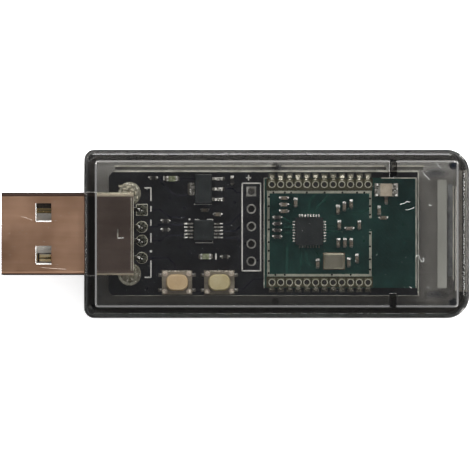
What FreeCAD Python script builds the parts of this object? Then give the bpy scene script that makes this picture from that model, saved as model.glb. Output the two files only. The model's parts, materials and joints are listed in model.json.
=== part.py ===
import FreeCAD, Part
import os
import re
import Sketcher

# A USB radio stick: a clear smoked case in two snapped halves, a long main board with a
# plug on its front end, and a small radio board soldered flat on its back half.
# X runs along the stick with the plug at the low end, Z is up, and the origin is under
# the middle of the whole object, on the surface that it lies on.

SIZES = {
    # main board and the room round it
    "board_length": 45.0,
    "board_width": 18.0,
    "board_thick": 1.2,
    "board_chamfer": 0.6,
    "front_room": 2.0,
    "back_room": 5.8,
    "side_room": 1.65,
    # case
    "case_wall": 1.6,
    "floor_thick": 1.2,
    "roof_thick": 1.2,
    "roof_room": 1.15,
    "front_radius": 1.5,
    "back_radius": 3.3,
    "edge_radius": 0.9,
    "seam_bevel": 0.12,
    "roof_bevel": 0.25,
    "inner_radius": 0.5,
    "rib_height": 0.75,
    "rib_thick": 0.8,
    "rib_inset": 2.0,
    "rib_front": 0.8,
    "rib_middle": 23.6,
    "rib_back": 43.2,
    "ledge_width": 0.8,
    "ledge_height": 1.4,
    "lip_thick": 0.7,
    "lip_height": 0.9,
    "lip_gap": 0.05,
    "snap_length": 4.0,
    "snap_depth": 0.15,
    "snap_height": 0.3,
    "snap_place": 14.0,
    "guide_radius": 0.55,
    "guide_place": 24.2,
    "hold_thick": 0.95,
    "hold_place": 41.3,
    "hold_far_reach": 2.4,
    "hold_near_reach": 1.95,
    "hold_gap": 0.05,
    "ridge_thick": 1.37,
    "ridge_length": 15.8,
    "ridge_height": 2.6,
    "ridge_room": 0.86,
    "post_radius": 0.75,
    "post_inset": 0.6,
    "boss_radius": 1.9,
    "fit_gap": 0.01,
    "overcut": 1.0,
    # plug
    "plug_reach": 12.0,
    "plug_seat": 3.6,
    "plug_width": 12.0,
    "plug_height": 4.5,
    "plug_radius": 0.7,
    "plug_gap": 0.1,
    "shell_thick": 0.3,
    "window_place": 6.1,
    "window_length": 2.3,
    "window_width": 2.7,
    "window_spacing": 6.2,
    "seam_width": 0.1,
    "lance_place": 2.4,
    "lance_length": 1.4,
    "lance_width": 0.9,
    "slit_width": 0.2,
    "leg_length": 1.4,
    "leg_below": 0.4,
    "slot_gap": 0.1,
    "tongue_thick": 1.9,
    "tongue_inset": 0.4,
    "cavity_depth": 13.5,
    "contact_width": 1.0,
    "contact_thick": 0.25,
    "contact_proud": 0.05,
    "contact_inset": 0.9,
    "contact_bend": 0.4,
    "tail_width": 0.6,
    "contact_below": 0.5,
    "pin_setback": 1.2,
    "inner_pin": 1.0,
    "outer_pin": 3.5,
    "pin_hole": 0.42,
    "pin_pad": 0.83,
    "pin_slope": 28.0,
    "solder_height": 0.45,
    "leg_solder": 1.7,
    "leg_slope": 42.0,
    # pin header holes
    "header_along": 20.71,
    "header_across": 1.08,
    "header_pitch": 2.54,
    "header_count": 5,
    "header_hole": 0.5,
    "header_rim": 0.71,
    "plating": 0.05,
    # small push switches
    "switch_along": 9.91,
    "switch_spacing": 6.15,
    "switch_inset": 1.92,
    "switch_length": 4.4,
    "switch_width": 3.5,
    "switch_skirt": 0.15,
    "switch_floor": 0.7,
    "switch_wall_top": 1.45,
    "button_length": 3.1,
    "button_width": 2.34,
    "button_radius": 1.0,
    "button_height": 2.4,
    "button_edge": 0.15,
    "button_gap": 0.05,
    "flange_reach": 0.17,
    "flange_thick": 0.4,
    "flange_gap": 0.02,
    "dome_radius": 1.15,
    "dome_height": 0.32,
    "dome_thick": 0.08,
    "dome_slope": 55.0,
    "peg_radius": 0.38,
    "peg_inset": 0.47,
    "peg_height": 0.15,
    "foot_width": 0.5,
    "foot_length": 0.36,
    "foot_thick": 0.12,
    "foot_rise": 0.7,
    "foot_spacing": 2.2,
    # regulator
    "regulator_along": 13.76,
    "regulator_inset": 2.49,
    "regulator_length": 2.5,
    "regulator_width": 4.4,
    "regulator_height": 1.5,
    "regulator_draft": 5.0,
    "regulator_lead": 0.4,
    "regulator_pitch": 1.5,
    "regulator_pin_length": 1.5,
    "regulator_pin_width": 0.45,
    "regulator_tab_length": 0.75,
    "regulator_tab_width": 1.8,
    # serial chip
    "serial_along": 13.78,
    "serial_across": 0.47,
    "serial_side": 3.0,
    "serial_height": 0.85,
    "serial_lift": 0.1,
    "serial_bevel": 0.12,
    "serial_shoulder": 0.4,
    "serial_lead_reach": 1.3,
    "serial_lead_width": 0.22,
    "serial_lead_thick": 0.15,
    "serial_lead_rise": 0.5,
    "serial_pitch": 0.5,
    # radio board
    "module_length": 22.2,
    "module_width": 16.0,
    "module_thick": 0.8,
    "module_back_gap": 0.3,
    "module_across": 0.15,
    "edge_pad_inset": 1.21,
    "edge_pad_pitch": 1.27,
    "edge_pad_count": 12,
    "edge_pad_width": 0.94,
    "edge_pad_length": 1.4,
    "edge_hole": 0.3,
    "edge_solder_reach": 0.65,
    "strip_inset": 0.5,
    "strip_length": 15.2,
    "strip_clear": 0.26,
    "strip_far_clear": 0.5,
    "strip_bar": 0.36,
    "strip_thick": 0.05,
    "strip_gap": 1.92,
    "strip_gap_across": 1.16,
    "radio_along": 6.64,
    "radio_across": 0.2,
    "radio_side": 4.0,
    "radio_height": 0.85,
    "radio_pitch": 0.4,
    "radio_pad_count": 8,
    "radio_pad_length": 0.4,
    "radio_pad_width": 0.22,
    "radio_pad_thick": 0.12,
    "crystal_along": 10.22,
    "crystal_across": -4.13,
    "crystal_length": 3.2,
    "crystal_width": 2.5,
    "crystal_base": 0.4,
    "crystal_can": 0.35,
    "crystal_rim": 0.12,
    "crystal_radius": 0.25,
    "can_bevel": 0.2,
    "antenna_along": 17.83,
    "antenna_across": 6.22,
    "antenna_length": 3.4,
    "antenna_width": 1.85,
    "antenna_height": 0.9,
    "antenna_end": 0.85,
    # small parts in the common sizes
    "chip_length": 1.0,
    "chip_width": 0.5,
    "chip_height": 0.45,
    "chip_end": 0.2,
    "chip_end_proud": 0.02,
    "light_length": 1.6,
    "light_width": 0.8,
    "light_base": 0.2,
    "light_lens": 0.4,
    "light_end": 0.3,
    "power_light_along": 9.19,
    "power_light_inset": 0.99,
    "status_light_along": 14.08,
    "status_light_across": -3.3,
}

# Places that follow from the sizes.
PLACES = {
    "case_length": "board_length + front_room + back_room + 2 * case_wall",
    "case_width": "board_width + 2 * (side_room + case_wall)",
    "case_side": "case_width / 2",
    "plug_front": "-(case_length + plug_reach) / 2",
    "case_front": "plug_front + plug_reach",
    "case_back": "case_front + case_length",
    "inner_front": "case_front + case_wall",
    "inner_back": "case_back - case_wall",
    "inner_side": "case_side - case_wall",
    "board_front": "inner_front + front_room",
    "board_back": "board_front + board_length",
    "board_side": "board_width / 2",
    "board_under": "floor_thick + rib_height",
    "board_top": "board_under + board_thick",
    "ledge_top": "floor_thick + ledge_height",
    "plug_rear": "board_front + plug_seat",
    "plug_side": "plug_width / 2",
    "plug_top": "board_top + plug_height",
    "split": "board_top + plug_height / 2",
    "roof_under": "plug_top + roof_room",
    "case_top_face": "roof_under + roof_thick",
    "shell_floor": "board_top + shell_thick",
    "shell_roof": "plug_top - shell_thick",
    "shell_side": "plug_side - shell_thick",
    "shell_inner_radius": "plug_radius - shell_thick",
    "tongue_top": "shell_floor + tongue_thick",
    "contact_top": "tongue_top + contact_proud",
    "contact_under": "contact_top - contact_thick",
    "pin_place": "plug_rear + pin_setback",
    "header_place": "board_front + header_along",
    "header_start": "header_across - header_pitch * (header_count - 1) / 2",
    "switch_across": "switch_inset - board_side",
    "module_front": "board_back - module_back_gap - module_length",
    "module_top": "board_top + module_thick",
    "module_far": "module_across + module_width / 2",
    "module_near": "module_across - module_width / 2",
    "edge_pad_start": "module_front + edge_pad_inset",
    "radio_run": "radio_pitch * (radio_pad_count - 1)",
}

# Small chips on the radio board: along from its front edge, across from its middle line,
# and whether the chip is turned to lie across the board.
MODULE_CAPACITORS = [
    (2.96, 5.05, False), (2.96, 4.09, False), (2.96, 3.12, False), (4.66, 4.33, True),
    (10.81, 3.28, True), (11.74, 3.75, True), (12.73, 4.09, True),
    (11.0, 1.06, True), (13.91, 1.06, True),
    (10.86, -1.55, True), (11.82, -1.55, True), (12.73, -1.55, True),
    (7.86, -4.54, True), (12.38, -4.39, True), (13.57, -3.81, True),
    (17.82, 4.73, True), (16.8, 3.15, True), (17.4, 2.18, False),
]
MODULE_RESISTORS = [
    (1.98, 2.22, False), (1.98, 1.3, False), (1.98, 0.34, False), (1.98, -0.59, False),
]
MODULE_INDUCTORS = [
    (12.44, 0.62, False),
]
# The same on the main board, along from its front edge and across from its middle line.
BOARD_RESISTORS = [
    (6.47, 8.11, False), (17.91, 7.67, True), (16.89, -3.34, False),
    (8.24, 1.86, False), (8.24, 0.6, False),
]
BOARD_CAPACITORS = [
    (13.94, 3.45, False), (15.8, 2.81, False),
]

document = FreeCAD.newDocument("usb_radio_stick")
sheet = document.addObject("Spreadsheet::Sheet", "Sizes")
for row, (alias, size) in enumerate(SIZES.items(), 1):
    sheet.set(f"A{row}", alias)
    sheet.set(f"B{row}", str(size))
    sheet.setAlias(f"B{row}", alias)
document.recompute()

NODES = []


def formula(text):
    """Turns the names in the text into references to the sheet's cells."""
    def spell(found):
        word = found.group(0)
        if word in PLACES:
            return "(" + formula(PLACES[word]) + ")"
        if word in SIZES:
            return "Sizes." + word
        return word
    return re.sub(r"[a-z_]+", spell, str(text))


def number(text):
    """What the text comes to with the sheet's present sizes."""
    return float(sheet.evalExpression(formula(text)))


def bind(thing, setting, text):
    """Ties one setting of an object to the sheet."""
    thing.setExpression(setting, formula(text))


def node(thing, name):
    """Makes the object a sub-part that is written to a file of its own."""
    thing.Label = name
    NODES.append(thing)
    return thing


def place(thing, along="0", across="0", up="0"):
    """Puts an object where the sheet says."""
    bind(thing, "Placement.Base.x", along)
    bind(thing, "Placement.Base.y", across)
    bind(thing, "Placement.Base.z", up)
    return thing


def new_body(name, along="0", across="0", up="0"):
    """An empty body that becomes a sub-part."""
    owner = document.addObject("PartDesign::Body", "Body_" + name)
    return place(node(owner, name), along, across, up)


def sketch(owner, height="0", plane="XY_Plane"):
    """A sketch on one of the body's own planes, moved along the plane's normal."""
    drawing = owner.newObject("Sketcher::SketchObject", "Sketch")
    face = [item for item in owner.Origin.OriginFeatures if item.Role == plane][0]
    drawing.AttachmentSupport = [(face, "")]
    drawing.MapMode = "FlatFace"
    bind(drawing, "AttachmentOffset.Base.z", height)
    return drawing


def fix(drawing, kind, item, text, point=None):
    """Adds a sized constraint and ties it to the sheet."""
    if point is None:
        rule = Sketcher.Constraint(kind, item, number(text))
    else:
        rule = Sketcher.Constraint(kind, item, point, number(text))
    index = drawing.addConstraint(rule)
    bind(drawing, f"Constraints[{index}]", text)


def outline(drawing, corners):
    """A closed outline of straight lines through the corners."""
    spots = [FreeCAD.Vector(number(across), number(up), 0) for across, up in corners]
    count = len(spots)
    first = drawing.GeometryCount
    for index in range(count):
        drawing.addGeometry(Part.LineSegment(spots[index], spots[(index + 1) % count]))
    for index in range(count):
        following = first + (index + 1) % count
        drawing.addConstraint(Sketcher.Constraint("Coincident", first + index, 2, following, 1))
    for index, (across, up) in enumerate(corners):
        fix(drawing, "DistanceX", first + index, across, 1)
        fix(drawing, "DistanceY", first + index, up, 1)


def rectangle(drawing, left, right, low, high):
    """A plain rectangle between four places."""
    outline(drawing, [(left, low), (right, low), (right, high), (left, high)])


def rounded(drawing, left, right, low, high, radius):
    """A rectangle with four equal rounded corners."""
    left_at, right_at = number(left), number(right)
    low_at, high_at = number(low), number(high)
    bend = number(radius)
    point = FreeCAD.Vector
    first = drawing.GeometryCount
    runs = [
        ((left_at + bend, low_at), (right_at - bend, low_at)),
        ((right_at, low_at + bend), (right_at, high_at - bend)),
        ((right_at - bend, high_at), (left_at + bend, high_at)),
        ((left_at, high_at - bend), (left_at, low_at + bend)),
    ]
    middles = [
        (right_at - bend, low_at + bend, 270), (right_at - bend, high_at - bend, 0),
        (left_at + bend, high_at - bend, 90), (left_at + bend, low_at + bend, 180),
    ]
    for (start, end), (across, up, turn) in zip(runs, middles):
        drawing.addGeometry(Part.LineSegment(point(*start, 0), point(*end, 0)))
        ring = Part.Circle(point(across, up, 0), point(0, 0, 1), bend)
        quarter = FreeCAD.Units.Quantity("90 deg").getValueAs("rad").Value
        begin = quarter * turn / 90
        drawing.addGeometry(Part.ArcOfCircle(ring, begin, begin + quarter))
    for index in range(0, 8, 2):
        line = first + index
        arc = line + 1
        following = first + (index + 2) % 8
        drawing.addConstraint(Sketcher.Constraint("Tangent", line, 2, arc, 1))
        drawing.addConstraint(Sketcher.Constraint("Tangent", arc, 2, following, 1))
        direction = "Horizontal" if index % 4 == 0 else "Vertical"
        drawing.addConstraint(Sketcher.Constraint(direction, line))
        if index:
            drawing.addConstraint(Sketcher.Constraint("Equal", first + 1, arc))
    fix(drawing, "Radius", first + 1, radius)
    fix(drawing, "DistanceY", first, low, 1)
    fix(drawing, "DistanceX", first + 2, right, 1)
    fix(drawing, "DistanceY", first + 4, high, 1)
    fix(drawing, "DistanceX", first + 6, left, 1)


def few_sided(drawing, across, up, radius, sides=12):
    """A regular outline that stands for a circle where many small ones repeat."""
    half_turn = 180 / sides
    corners = []
    for step in range(sides):
        turn = half_turn * (2 * step + 1)
        corners.append((f"{across} + ({radius}) * cos({turn} deg)",
                        f"{up} + ({radius}) * sin({turn} deg)"))
    outline(drawing, corners)


def quarter_disc(drawing, across, up, radius):
    """A quarter of a disc in the corner at the given place, open to the upper right."""
    left, low, reach = number(across), number(up), number(radius)
    corner = FreeCAD.Vector(left, low, 0)
    right = FreeCAD.Vector(left + reach, low, 0)
    top = FreeCAD.Vector(left, low + reach, 0)
    quarter = FreeCAD.Units.Quantity("90 deg").getValueAs("rad").Value
    ring = Part.Circle(corner, FreeCAD.Vector(0, 0, 1), reach)
    drawing.addGeometry(Part.LineSegment(corner, right))
    drawing.addGeometry(Part.ArcOfCircle(ring, 0, quarter))
    drawing.addGeometry(Part.LineSegment(top, corner))
    drawing.addConstraint(Sketcher.Constraint("Coincident", 0, 2, 1, 1))
    drawing.addConstraint(Sketcher.Constraint("Coincident", 1, 2, 2, 1))
    drawing.addConstraint(Sketcher.Constraint("Coincident", 2, 2, 0, 1))
    drawing.addConstraint(Sketcher.Constraint("Coincident", 1, 3, 0, 1))
    drawing.addConstraint(Sketcher.Constraint("Horizontal", 0))
    drawing.addConstraint(Sketcher.Constraint("Vertical", 2))
    fix(drawing, "Radius", 1, radius)
    fix(drawing, "DistanceX", 0, across, 1)
    fix(drawing, "DistanceY", 0, up, 1)


def pad(owner, drawing, length):
    """Material from the sketch along its normal."""
    feature = owner.newObject("PartDesign::Pad", "Pad")
    feature.Profile = drawing
    bind(feature, "Length", length)
    return feature


def pocket(owner, drawing, length, upward=False):
    """A cut from the sketch against its normal, or along it."""
    before = owner.Tip
    feature = owner.newObject("PartDesign::Pocket", "Pocket")
    feature.Profile = drawing
    feature.Reversed = upward
    bind(feature, "Length", length)
    document.recompute()
    if feature.Shape.Volume > before.Shape.Volume - 1e-6:
        raise RuntimeError(f"a cut in {owner.Label} takes nothing away")
    return feature


def block(owner, left, right, near, far, low, high):
    """A padded rectangle between six places."""
    drawing = sketch(owner, low)
    rectangle(drawing, left, right, near, far)
    return pad(owner, drawing, f"({high}) - ({low})")


def slot(owner, left, right, near, far, low, high):
    """A pocketed rectangle between six places."""
    drawing = sketch(owner, high)
    rectangle(drawing, left, right, near, far)
    return pocket(owner, drawing, f"({high}) - ({low})")


def row_of(owner, features, axis, pitch, count):
    """Repeats features in a straight row along one of the body's axes."""
    line = [item for item in owner.Origin.OriginFeatures if item.Role == axis][0]
    feature = owner.newObject("PartDesign::LinearPattern", "Row")
    feature.Originals = features
    feature.Direction = (line, [""])
    bind(feature, "Length", f"({pitch}) * (({count}) - 1)")
    bind(feature, "Occurrences", count)
    owner.Tip = feature
    document.recompute()
    return feature


def edges(owner, wanted):
    """Names of the body's edges for which the test holds."""
    document.recompute()
    names = []
    for index, edge in enumerate(owner.Tip.Shape.Edges, 1):
        if wanted(edge.BoundBox):
            names.append(f"Edge{index}")
    if not names:
        raise RuntimeError(f"no edge found in {owner.Label}")
    return names


def soften(owner, wanted, radius, kind="Fillet", setting="Radius"):
    """Rounds or bevels the edges for which the test holds."""
    names = edges(owner, wanted)
    base = owner.Tip
    feature = owner.newObject("PartDesign::" + kind, kind)
    feature.Base = (base, names)
    bind(feature, setting, radius)
    document.recompute()
    return feature


def upright(box, along=None, across=None):
    """Whether an edge runs straight up at the given place."""
    level = box.XLength < 1e-4 and box.YLength < 1e-4
    here = along is None or abs(box.Center.x - number(along)) < 1e-4
    beside = across is None or abs(abs(box.Center.y) - number(across)) < 1e-4
    return level and here and beside


def at_height(box, height):
    """Whether an edge lies flat at the given height."""
    return box.ZLength < 1e-4 and abs(box.ZMin - number(height)) < 1e-4


def brick(left, right, near, far, low, high):
    """A plain box between six places, as a part of a group."""
    thing = document.addObject("Part::Box", "Brick")
    bind(thing, "Length", f"({right}) - ({left})")
    bind(thing, "Width", f"({far}) - ({near})")
    bind(thing, "Height", f"({high}) - ({low})")
    return place(thing, left, near, low)


def group(name, things):
    """Like pieces kept as separate solids of one sub-part."""
    thing = document.addObject("Part::Compound", "Group_" + name)
    thing.Links = things
    return node(thing, name)


def case_outline(owner, low, high):
    """The outer block of one case half, with its upright corners rounded."""
    block(owner, "case_front", "case_back", "-case_side", "case_side", low, high)
    soften(owner, lambda box: upright(box, along="case_front"), "front_radius")
    soften(owner, lambda box: upright(box, along="case_back"), "back_radius")
    soften(owner, lambda box: at_height(box, "split"), "seam_bevel", kind="Chamfer",
           setting="Size")


def plug_opening(owner, low, high):
    """The part of the front opening that one case half holds."""
    slot(owner, "case_front - overcut", "inner_front + overcut", "-plug_side - plug_gap",
         "plug_side + plug_gap", low, high)


def make_case_bottom():
    owner = new_body("case_bottom")
    case_outline(owner, "0", "split")
    soften(owner, lambda box: at_height(box, "0"), "edge_radius")
    upper = sketch(owner, "split")
    rounded(upper, "inner_front", "inner_back", "-inner_side", "inner_side", "inner_radius")
    pocket(owner, upper, "split - ledge_top")
    lower = sketch(owner, "ledge_top")
    rectangle(lower, "inner_front", "inner_back - ledge_width", "ledge_width - inner_side",
              "inner_side - ledge_width")
    pocket(owner, lower, "ledge_top - floor_thick")
    lip = sketch(owner, "split")
    rounded(lip, "inner_front - lip_thick", "inner_back + lip_thick", "-inner_side - lip_thick",
            "inner_side + lip_thick", "inner_radius + lip_thick")
    rounded(lip, "inner_front", "inner_back", "-inner_side", "inner_side", "inner_radius")
    pad(owner, lip, "lip_height")
    for side in ("-", ""):
        for spot in ("-", ""):
            middle = f"board_front + board_length / 2 {spot or '+'} snap_place"
            near = f"{side}(inner_side + lip_thick)"
            far = f"{side}(inner_side + lip_thick + snap_depth)"
            low = "split + (lip_height - snap_height) / 2"
            ends = (near, far) if not side else (far, near)
            block(owner, f"{middle} - snap_length / 2", f"{middle} + snap_length / 2", *ends,
                  low, f"{low} + snap_height")
    for spot in ("rib_front", "rib_middle", "rib_back"):
        block(owner, f"board_front + {spot} - rib_thick / 2", f"board_front + {spot} + rib_thick / 2",
              "rib_inset - board_side", "board_side - rib_inset", "floor_thick", "board_under")
    for side in ("-", ""):
        guide = sketch(owner, "floor_thick")
        few_sided(guide, "board_front + guide_place", f"{side}(inner_side - ledge_width)",
                  "guide_radius")
        pad(owner, guide, "split - floor_thick")
    block(owner, "inner_back - ledge_width - ridge_room - ridge_thick",
          "inner_back - ledge_width - ridge_room", "-ridge_length / 2", "ridge_length / 2",
          "floor_thick", "floor_thick + ridge_height")
    for side in ("-", ""):
        post = sketch(owner, "floor_thick")
        few_sided(post, "inner_back - post_inset", f"{side}(inner_side - post_inset)",
                  "post_radius")
        pad(owner, post, "split - floor_thick")
    boss = sketch(owner, "floor_thick")
    quarter_disc(boss, "inner_front", "-inner_side", "boss_radius")
    pad(owner, boss, "ledge_height")
    plug_opening(owner, "board_top - plug_gap", "split + lip_height + overcut")
    return owner


def make_case_top():
    owner = new_body("case_top")
    case_outline(owner, "split", "case_top_face")
    soften(owner, lambda box: at_height(box, "case_top_face"), "edge_radius")
    inner = sketch(owner, "split")
    rounded(inner, "inner_front", "inner_back", "-inner_side", "inner_side", "inner_radius")
    pocket(owner, inner, "roof_under - split", upward=True)
    soften(owner, lambda box: at_height(box, "roof_under"), "roof_bevel", kind="Chamfer",
           setting="Size")
    rebate = sketch(owner, "split")
    reach = "(lip_thick + lip_gap)"
    rounded(rebate, f"inner_front - {reach}", f"inner_back + {reach}", f"-inner_side - {reach}",
            f"inner_side + {reach}", f"inner_radius + {reach}")
    pocket(owner, rebate, "lip_height + lip_gap", upward=True)
    for side in ("-", ""):
        for spot in ("-", ""):
            middle = f"board_front + board_length / 2 {spot or '+'} snap_place"
            near = f"{side}(inner_side + lip_thick)"
            far = f"{side}(inner_side + lip_thick + snap_depth + lip_gap)"
            low = "split + (lip_height - snap_height) / 2 - lip_gap"
            ends = (near, far) if not side else (far, near)
            slot(owner, f"{middle} - snap_length / 2 - lip_gap",
                 f"{middle} + snap_length / 2 + lip_gap", *ends,
                 low, f"{low} + snap_height + 2 * lip_gap")
    left = "board_front + hold_place - hold_thick / 2"
    block(owner, left, f"{left} + hold_thick", "inner_side - hold_far_reach",
          "inner_side", "board_top + hold_gap", "roof_under")
    block(owner, left, f"{left} + hold_thick", "-inner_side",
          "hold_near_reach - inner_side", "board_top + hold_gap", "roof_under")
    plug_opening(owner, "split - overcut", "plug_top + plug_gap")
    return owner


def make_main_board():
    owner = new_body("main_board")
    block(owner, "board_front", "board_back", "-board_side", "board_side", "board_under",
          "board_top")
    soften(owner, lambda box: upright(box, along="board_front"), "board_chamfer",
           kind="Chamfer", setting="Size")
    hole = sketch(owner, "board_top")
    few_sided(hole, "header_place", "header_start", "header_hole", 16)
    row_of(owner, [pocket(owner, hole, "board_thick")], "Y_Axis", "header_pitch",
           "header_count")
    pins = sketch(owner, "board_top")
    for across in ("-outer_pin", "-inner_pin", "inner_pin", "outer_pin"):
        few_sided(pins, "pin_place", across, "pin_hole")
    pocket(owner, pins, "board_thick")
    for side in ("-", ""):
        inner = f"{side}(shell_side - slot_gap)"
        outer = f"{side}(plug_side + slot_gap)"
        ends = (inner, outer) if not side else (outer, inner)
        slot(owner, "plug_rear - leg_length - slot_gap", "plug_rear + slot_gap", *ends,
             "board_under", "board_top")
    return owner


def make_usb_shell():
    owner = new_body("usb_shell")
    tube = sketch(owner, "plug_front", "YZ_Plane")
    rounded(tube, "-plug_side", "plug_side", "board_top", "plug_top", "plug_radius")
    rounded(tube, "-shell_side", "shell_side", "shell_floor", "shell_roof",
            "shell_inner_radius")
    pad(owner, tube, "plug_rear - plug_front")
    left = "plug_front + window_place - window_length / 2"
    for side in ("-", ""):
        near = f"{side}window_spacing / 2 - window_width / 2"
        slot(owner, left, f"{left} + window_length", near, f"{near} + window_width",
             "board_top - overcut", "plug_top + overcut")
    slot(owner, "plug_front - overcut", "plug_rear + overcut", "-seam_width / 2",
         "seam_width / 2", "board_top - overcut", "shell_floor")
    lance = sketch(owner, "plug_top")
    outline(lance, [
        ("plug_rear - lance_place", "lance_length / 2"),
        ("plug_rear - lance_place", "-lance_length / 2"),
        ("plug_rear - lance_place + lance_width", "-lance_length / 2"),
        ("plug_rear - lance_place + lance_width", "slit_width - lance_length / 2"),
        ("plug_rear - lance_place + slit_width", "slit_width - lance_length / 2"),
        ("plug_rear - lance_place + slit_width", "lance_length / 2"),
    ])
    pocket(owner, lance, "shell_thick")
    for side in ("-", ""):
        ends = ("shell_side", "plug_side") if not side else ("-plug_side", "-shell_side")
        block(owner, "plug_rear - leg_length", "plug_rear", *ends, "board_under - leg_below",
              "board_top + plug_radius")
    return owner


def make_usb_insulator():
    owner = new_body("usb_insulator")
    core = sketch(owner, "plug_front + tongue_inset", "YZ_Plane")
    rounded(core, "-shell_side", "shell_side", "shell_floor", "shell_roof", "plug_radius")
    pad(owner, core, "plug_rear - plug_front - tongue_inset")
    slot(owner, "plug_front", "plug_front + cavity_depth", "-plug_side", "plug_side",
         "tongue_top", "plug_top")
    for middle in ("-outer_pin", "-inner_pin", "inner_pin", "outer_pin"):
        slot(owner, "plug_front + contact_inset", "plug_rear + overcut",
             f"{middle} - contact_width / 2", f"{middle} + contact_width / 2",
             "contact_under", "contact_top")
    return owner


def make_usb_contact(name, across):
    owner = new_body(name, across=across)
    blade = sketch(owner, "-contact_width / 2", "XZ_Plane")
    rectangle(blade, "plug_front + contact_inset", "plug_rear", "contact_under", "contact_top")
    pad(owner, blade, "contact_width")
    tail = sketch(owner, "-tail_width / 2", "XZ_Plane")
    outline(tail, [
        ("plug_rear", "contact_under"),
        ("pin_place - contact_thick / 2", "contact_under"),
        ("pin_place - contact_thick / 2", "board_under - contact_below"),
        ("pin_place + contact_thick / 2", "board_under - contact_below"),
        ("pin_place + contact_thick / 2", "contact_top"),
        ("plug_rear", "contact_top"),
    ])
    pad(owner, tail, "tail_width")
    corner = number("pin_place + contact_thick / 2")
    top = number("contact_top")
    soften(owner, lambda box: abs(box.XMin - corner) < 1e-4 and box.XLength < 1e-4
           and abs(box.ZMin - top) < 1e-4 and box.ZLength < 1e-4, "contact_bend")
    return owner


def make_pin_solder():
    """A cone of solder round each contact's leg."""
    heaps = new_body("pin_solder")
    for across in ("-outer_pin", "-inner_pin", "inner_pin", "outer_pin"):
        foot = sketch(heaps, "board_top")
        few_sided(foot, "pin_place", across, "pin_pad")
        bind(pad(heaps, foot, "solder_height"), "TaperAngle", "-pin_slope")
    for across in ("-outer_pin", "-inner_pin", "inner_pin", "outer_pin"):
        slot(heaps, "pin_place - contact_thick / 2", "pin_place + contact_thick / 2",
             f"{across} - tail_width / 2", f"{across} + tail_width / 2", "board_top",
             "board_top + solder_height")


def make_shell_solder():
    """Solder that fills the slot round each of the shell's legs and heaps up beside it."""
    owner = new_body("shell_solder")
    for side in ("-", ""):
        heap = sketch(owner, "board_top")
        few_sided(heap, "plug_rear - leg_length / 2 + slot_gap",
                  f"{side}(plug_side - shell_thick / 2)", "leg_solder", 16)
        bind(pad(owner, heap, "solder_height"), "TaperAngle", "-leg_slope")
    slot(owner, "plug_rear - 2 * leg_solder", "plug_rear", "-plug_side", "plug_side",
         "board_top", "board_top + solder_height")
    for side in ("-", ""):
        inner = f"{side}(shell_side - slot_gap)"
        outer = f"{side}(plug_side + slot_gap)"
        walls = (inner, outer) if not side else (outer, inner)
        block(owner, "plug_rear - leg_length - slot_gap", "plug_rear + slot_gap", *walls,
              "board_under", "board_top")
    for side in ("-", ""):
        ends = ("shell_side", "plug_side") if not side else ("-plug_side", "-shell_side")
        slot(owner, "plug_rear - leg_length", "plug_rear", *ends, "board_under", "board_top")


def make_header_rings():
    """The plated rings round the header holes, the last of them square."""
    owner = new_body("header_rings")
    ring = sketch(owner, "board_top")
    few_sided(ring, "header_place", "header_start", "header_rim", 16)
    few_sided(ring, "header_place", "header_start", "header_hole", 16)
    row_of(owner, [pad(owner, ring, "plating")], "Y_Axis", "header_pitch", "header_count - 1")
    square = sketch(owner, "board_top")
    last = "header_start + header_pitch * (header_count - 1)"
    rectangle(square, "header_place - header_rim", "header_place + header_rim",
              f"{last} - header_rim", f"{last} + header_rim")
    few_sided(square, "header_place", last, "header_hole", 16)
    pad(owner, square, "plating")
    return owner


def oval(drawing, extra):
    """The button's rounded outline about the origin, larger all round by extra."""
    rounded(drawing, f"-button_length / 2 - ({extra})", f"button_length / 2 + ({extra})",
            f"-button_width / 2 - ({extra})", f"button_width / 2 + ({extra})",
            f"button_radius + ({extra})")


def pegs(drawing, radius):
    """The outlines of a switch's four round rivets."""
    for along in ("-", ""):
        for across in ("-", ""):
            few_sided(drawing, f"{along}(switch_length / 2 - peg_inset)",
                      f"{across}(switch_width / 2 - peg_inset)", radius, 10)


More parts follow.
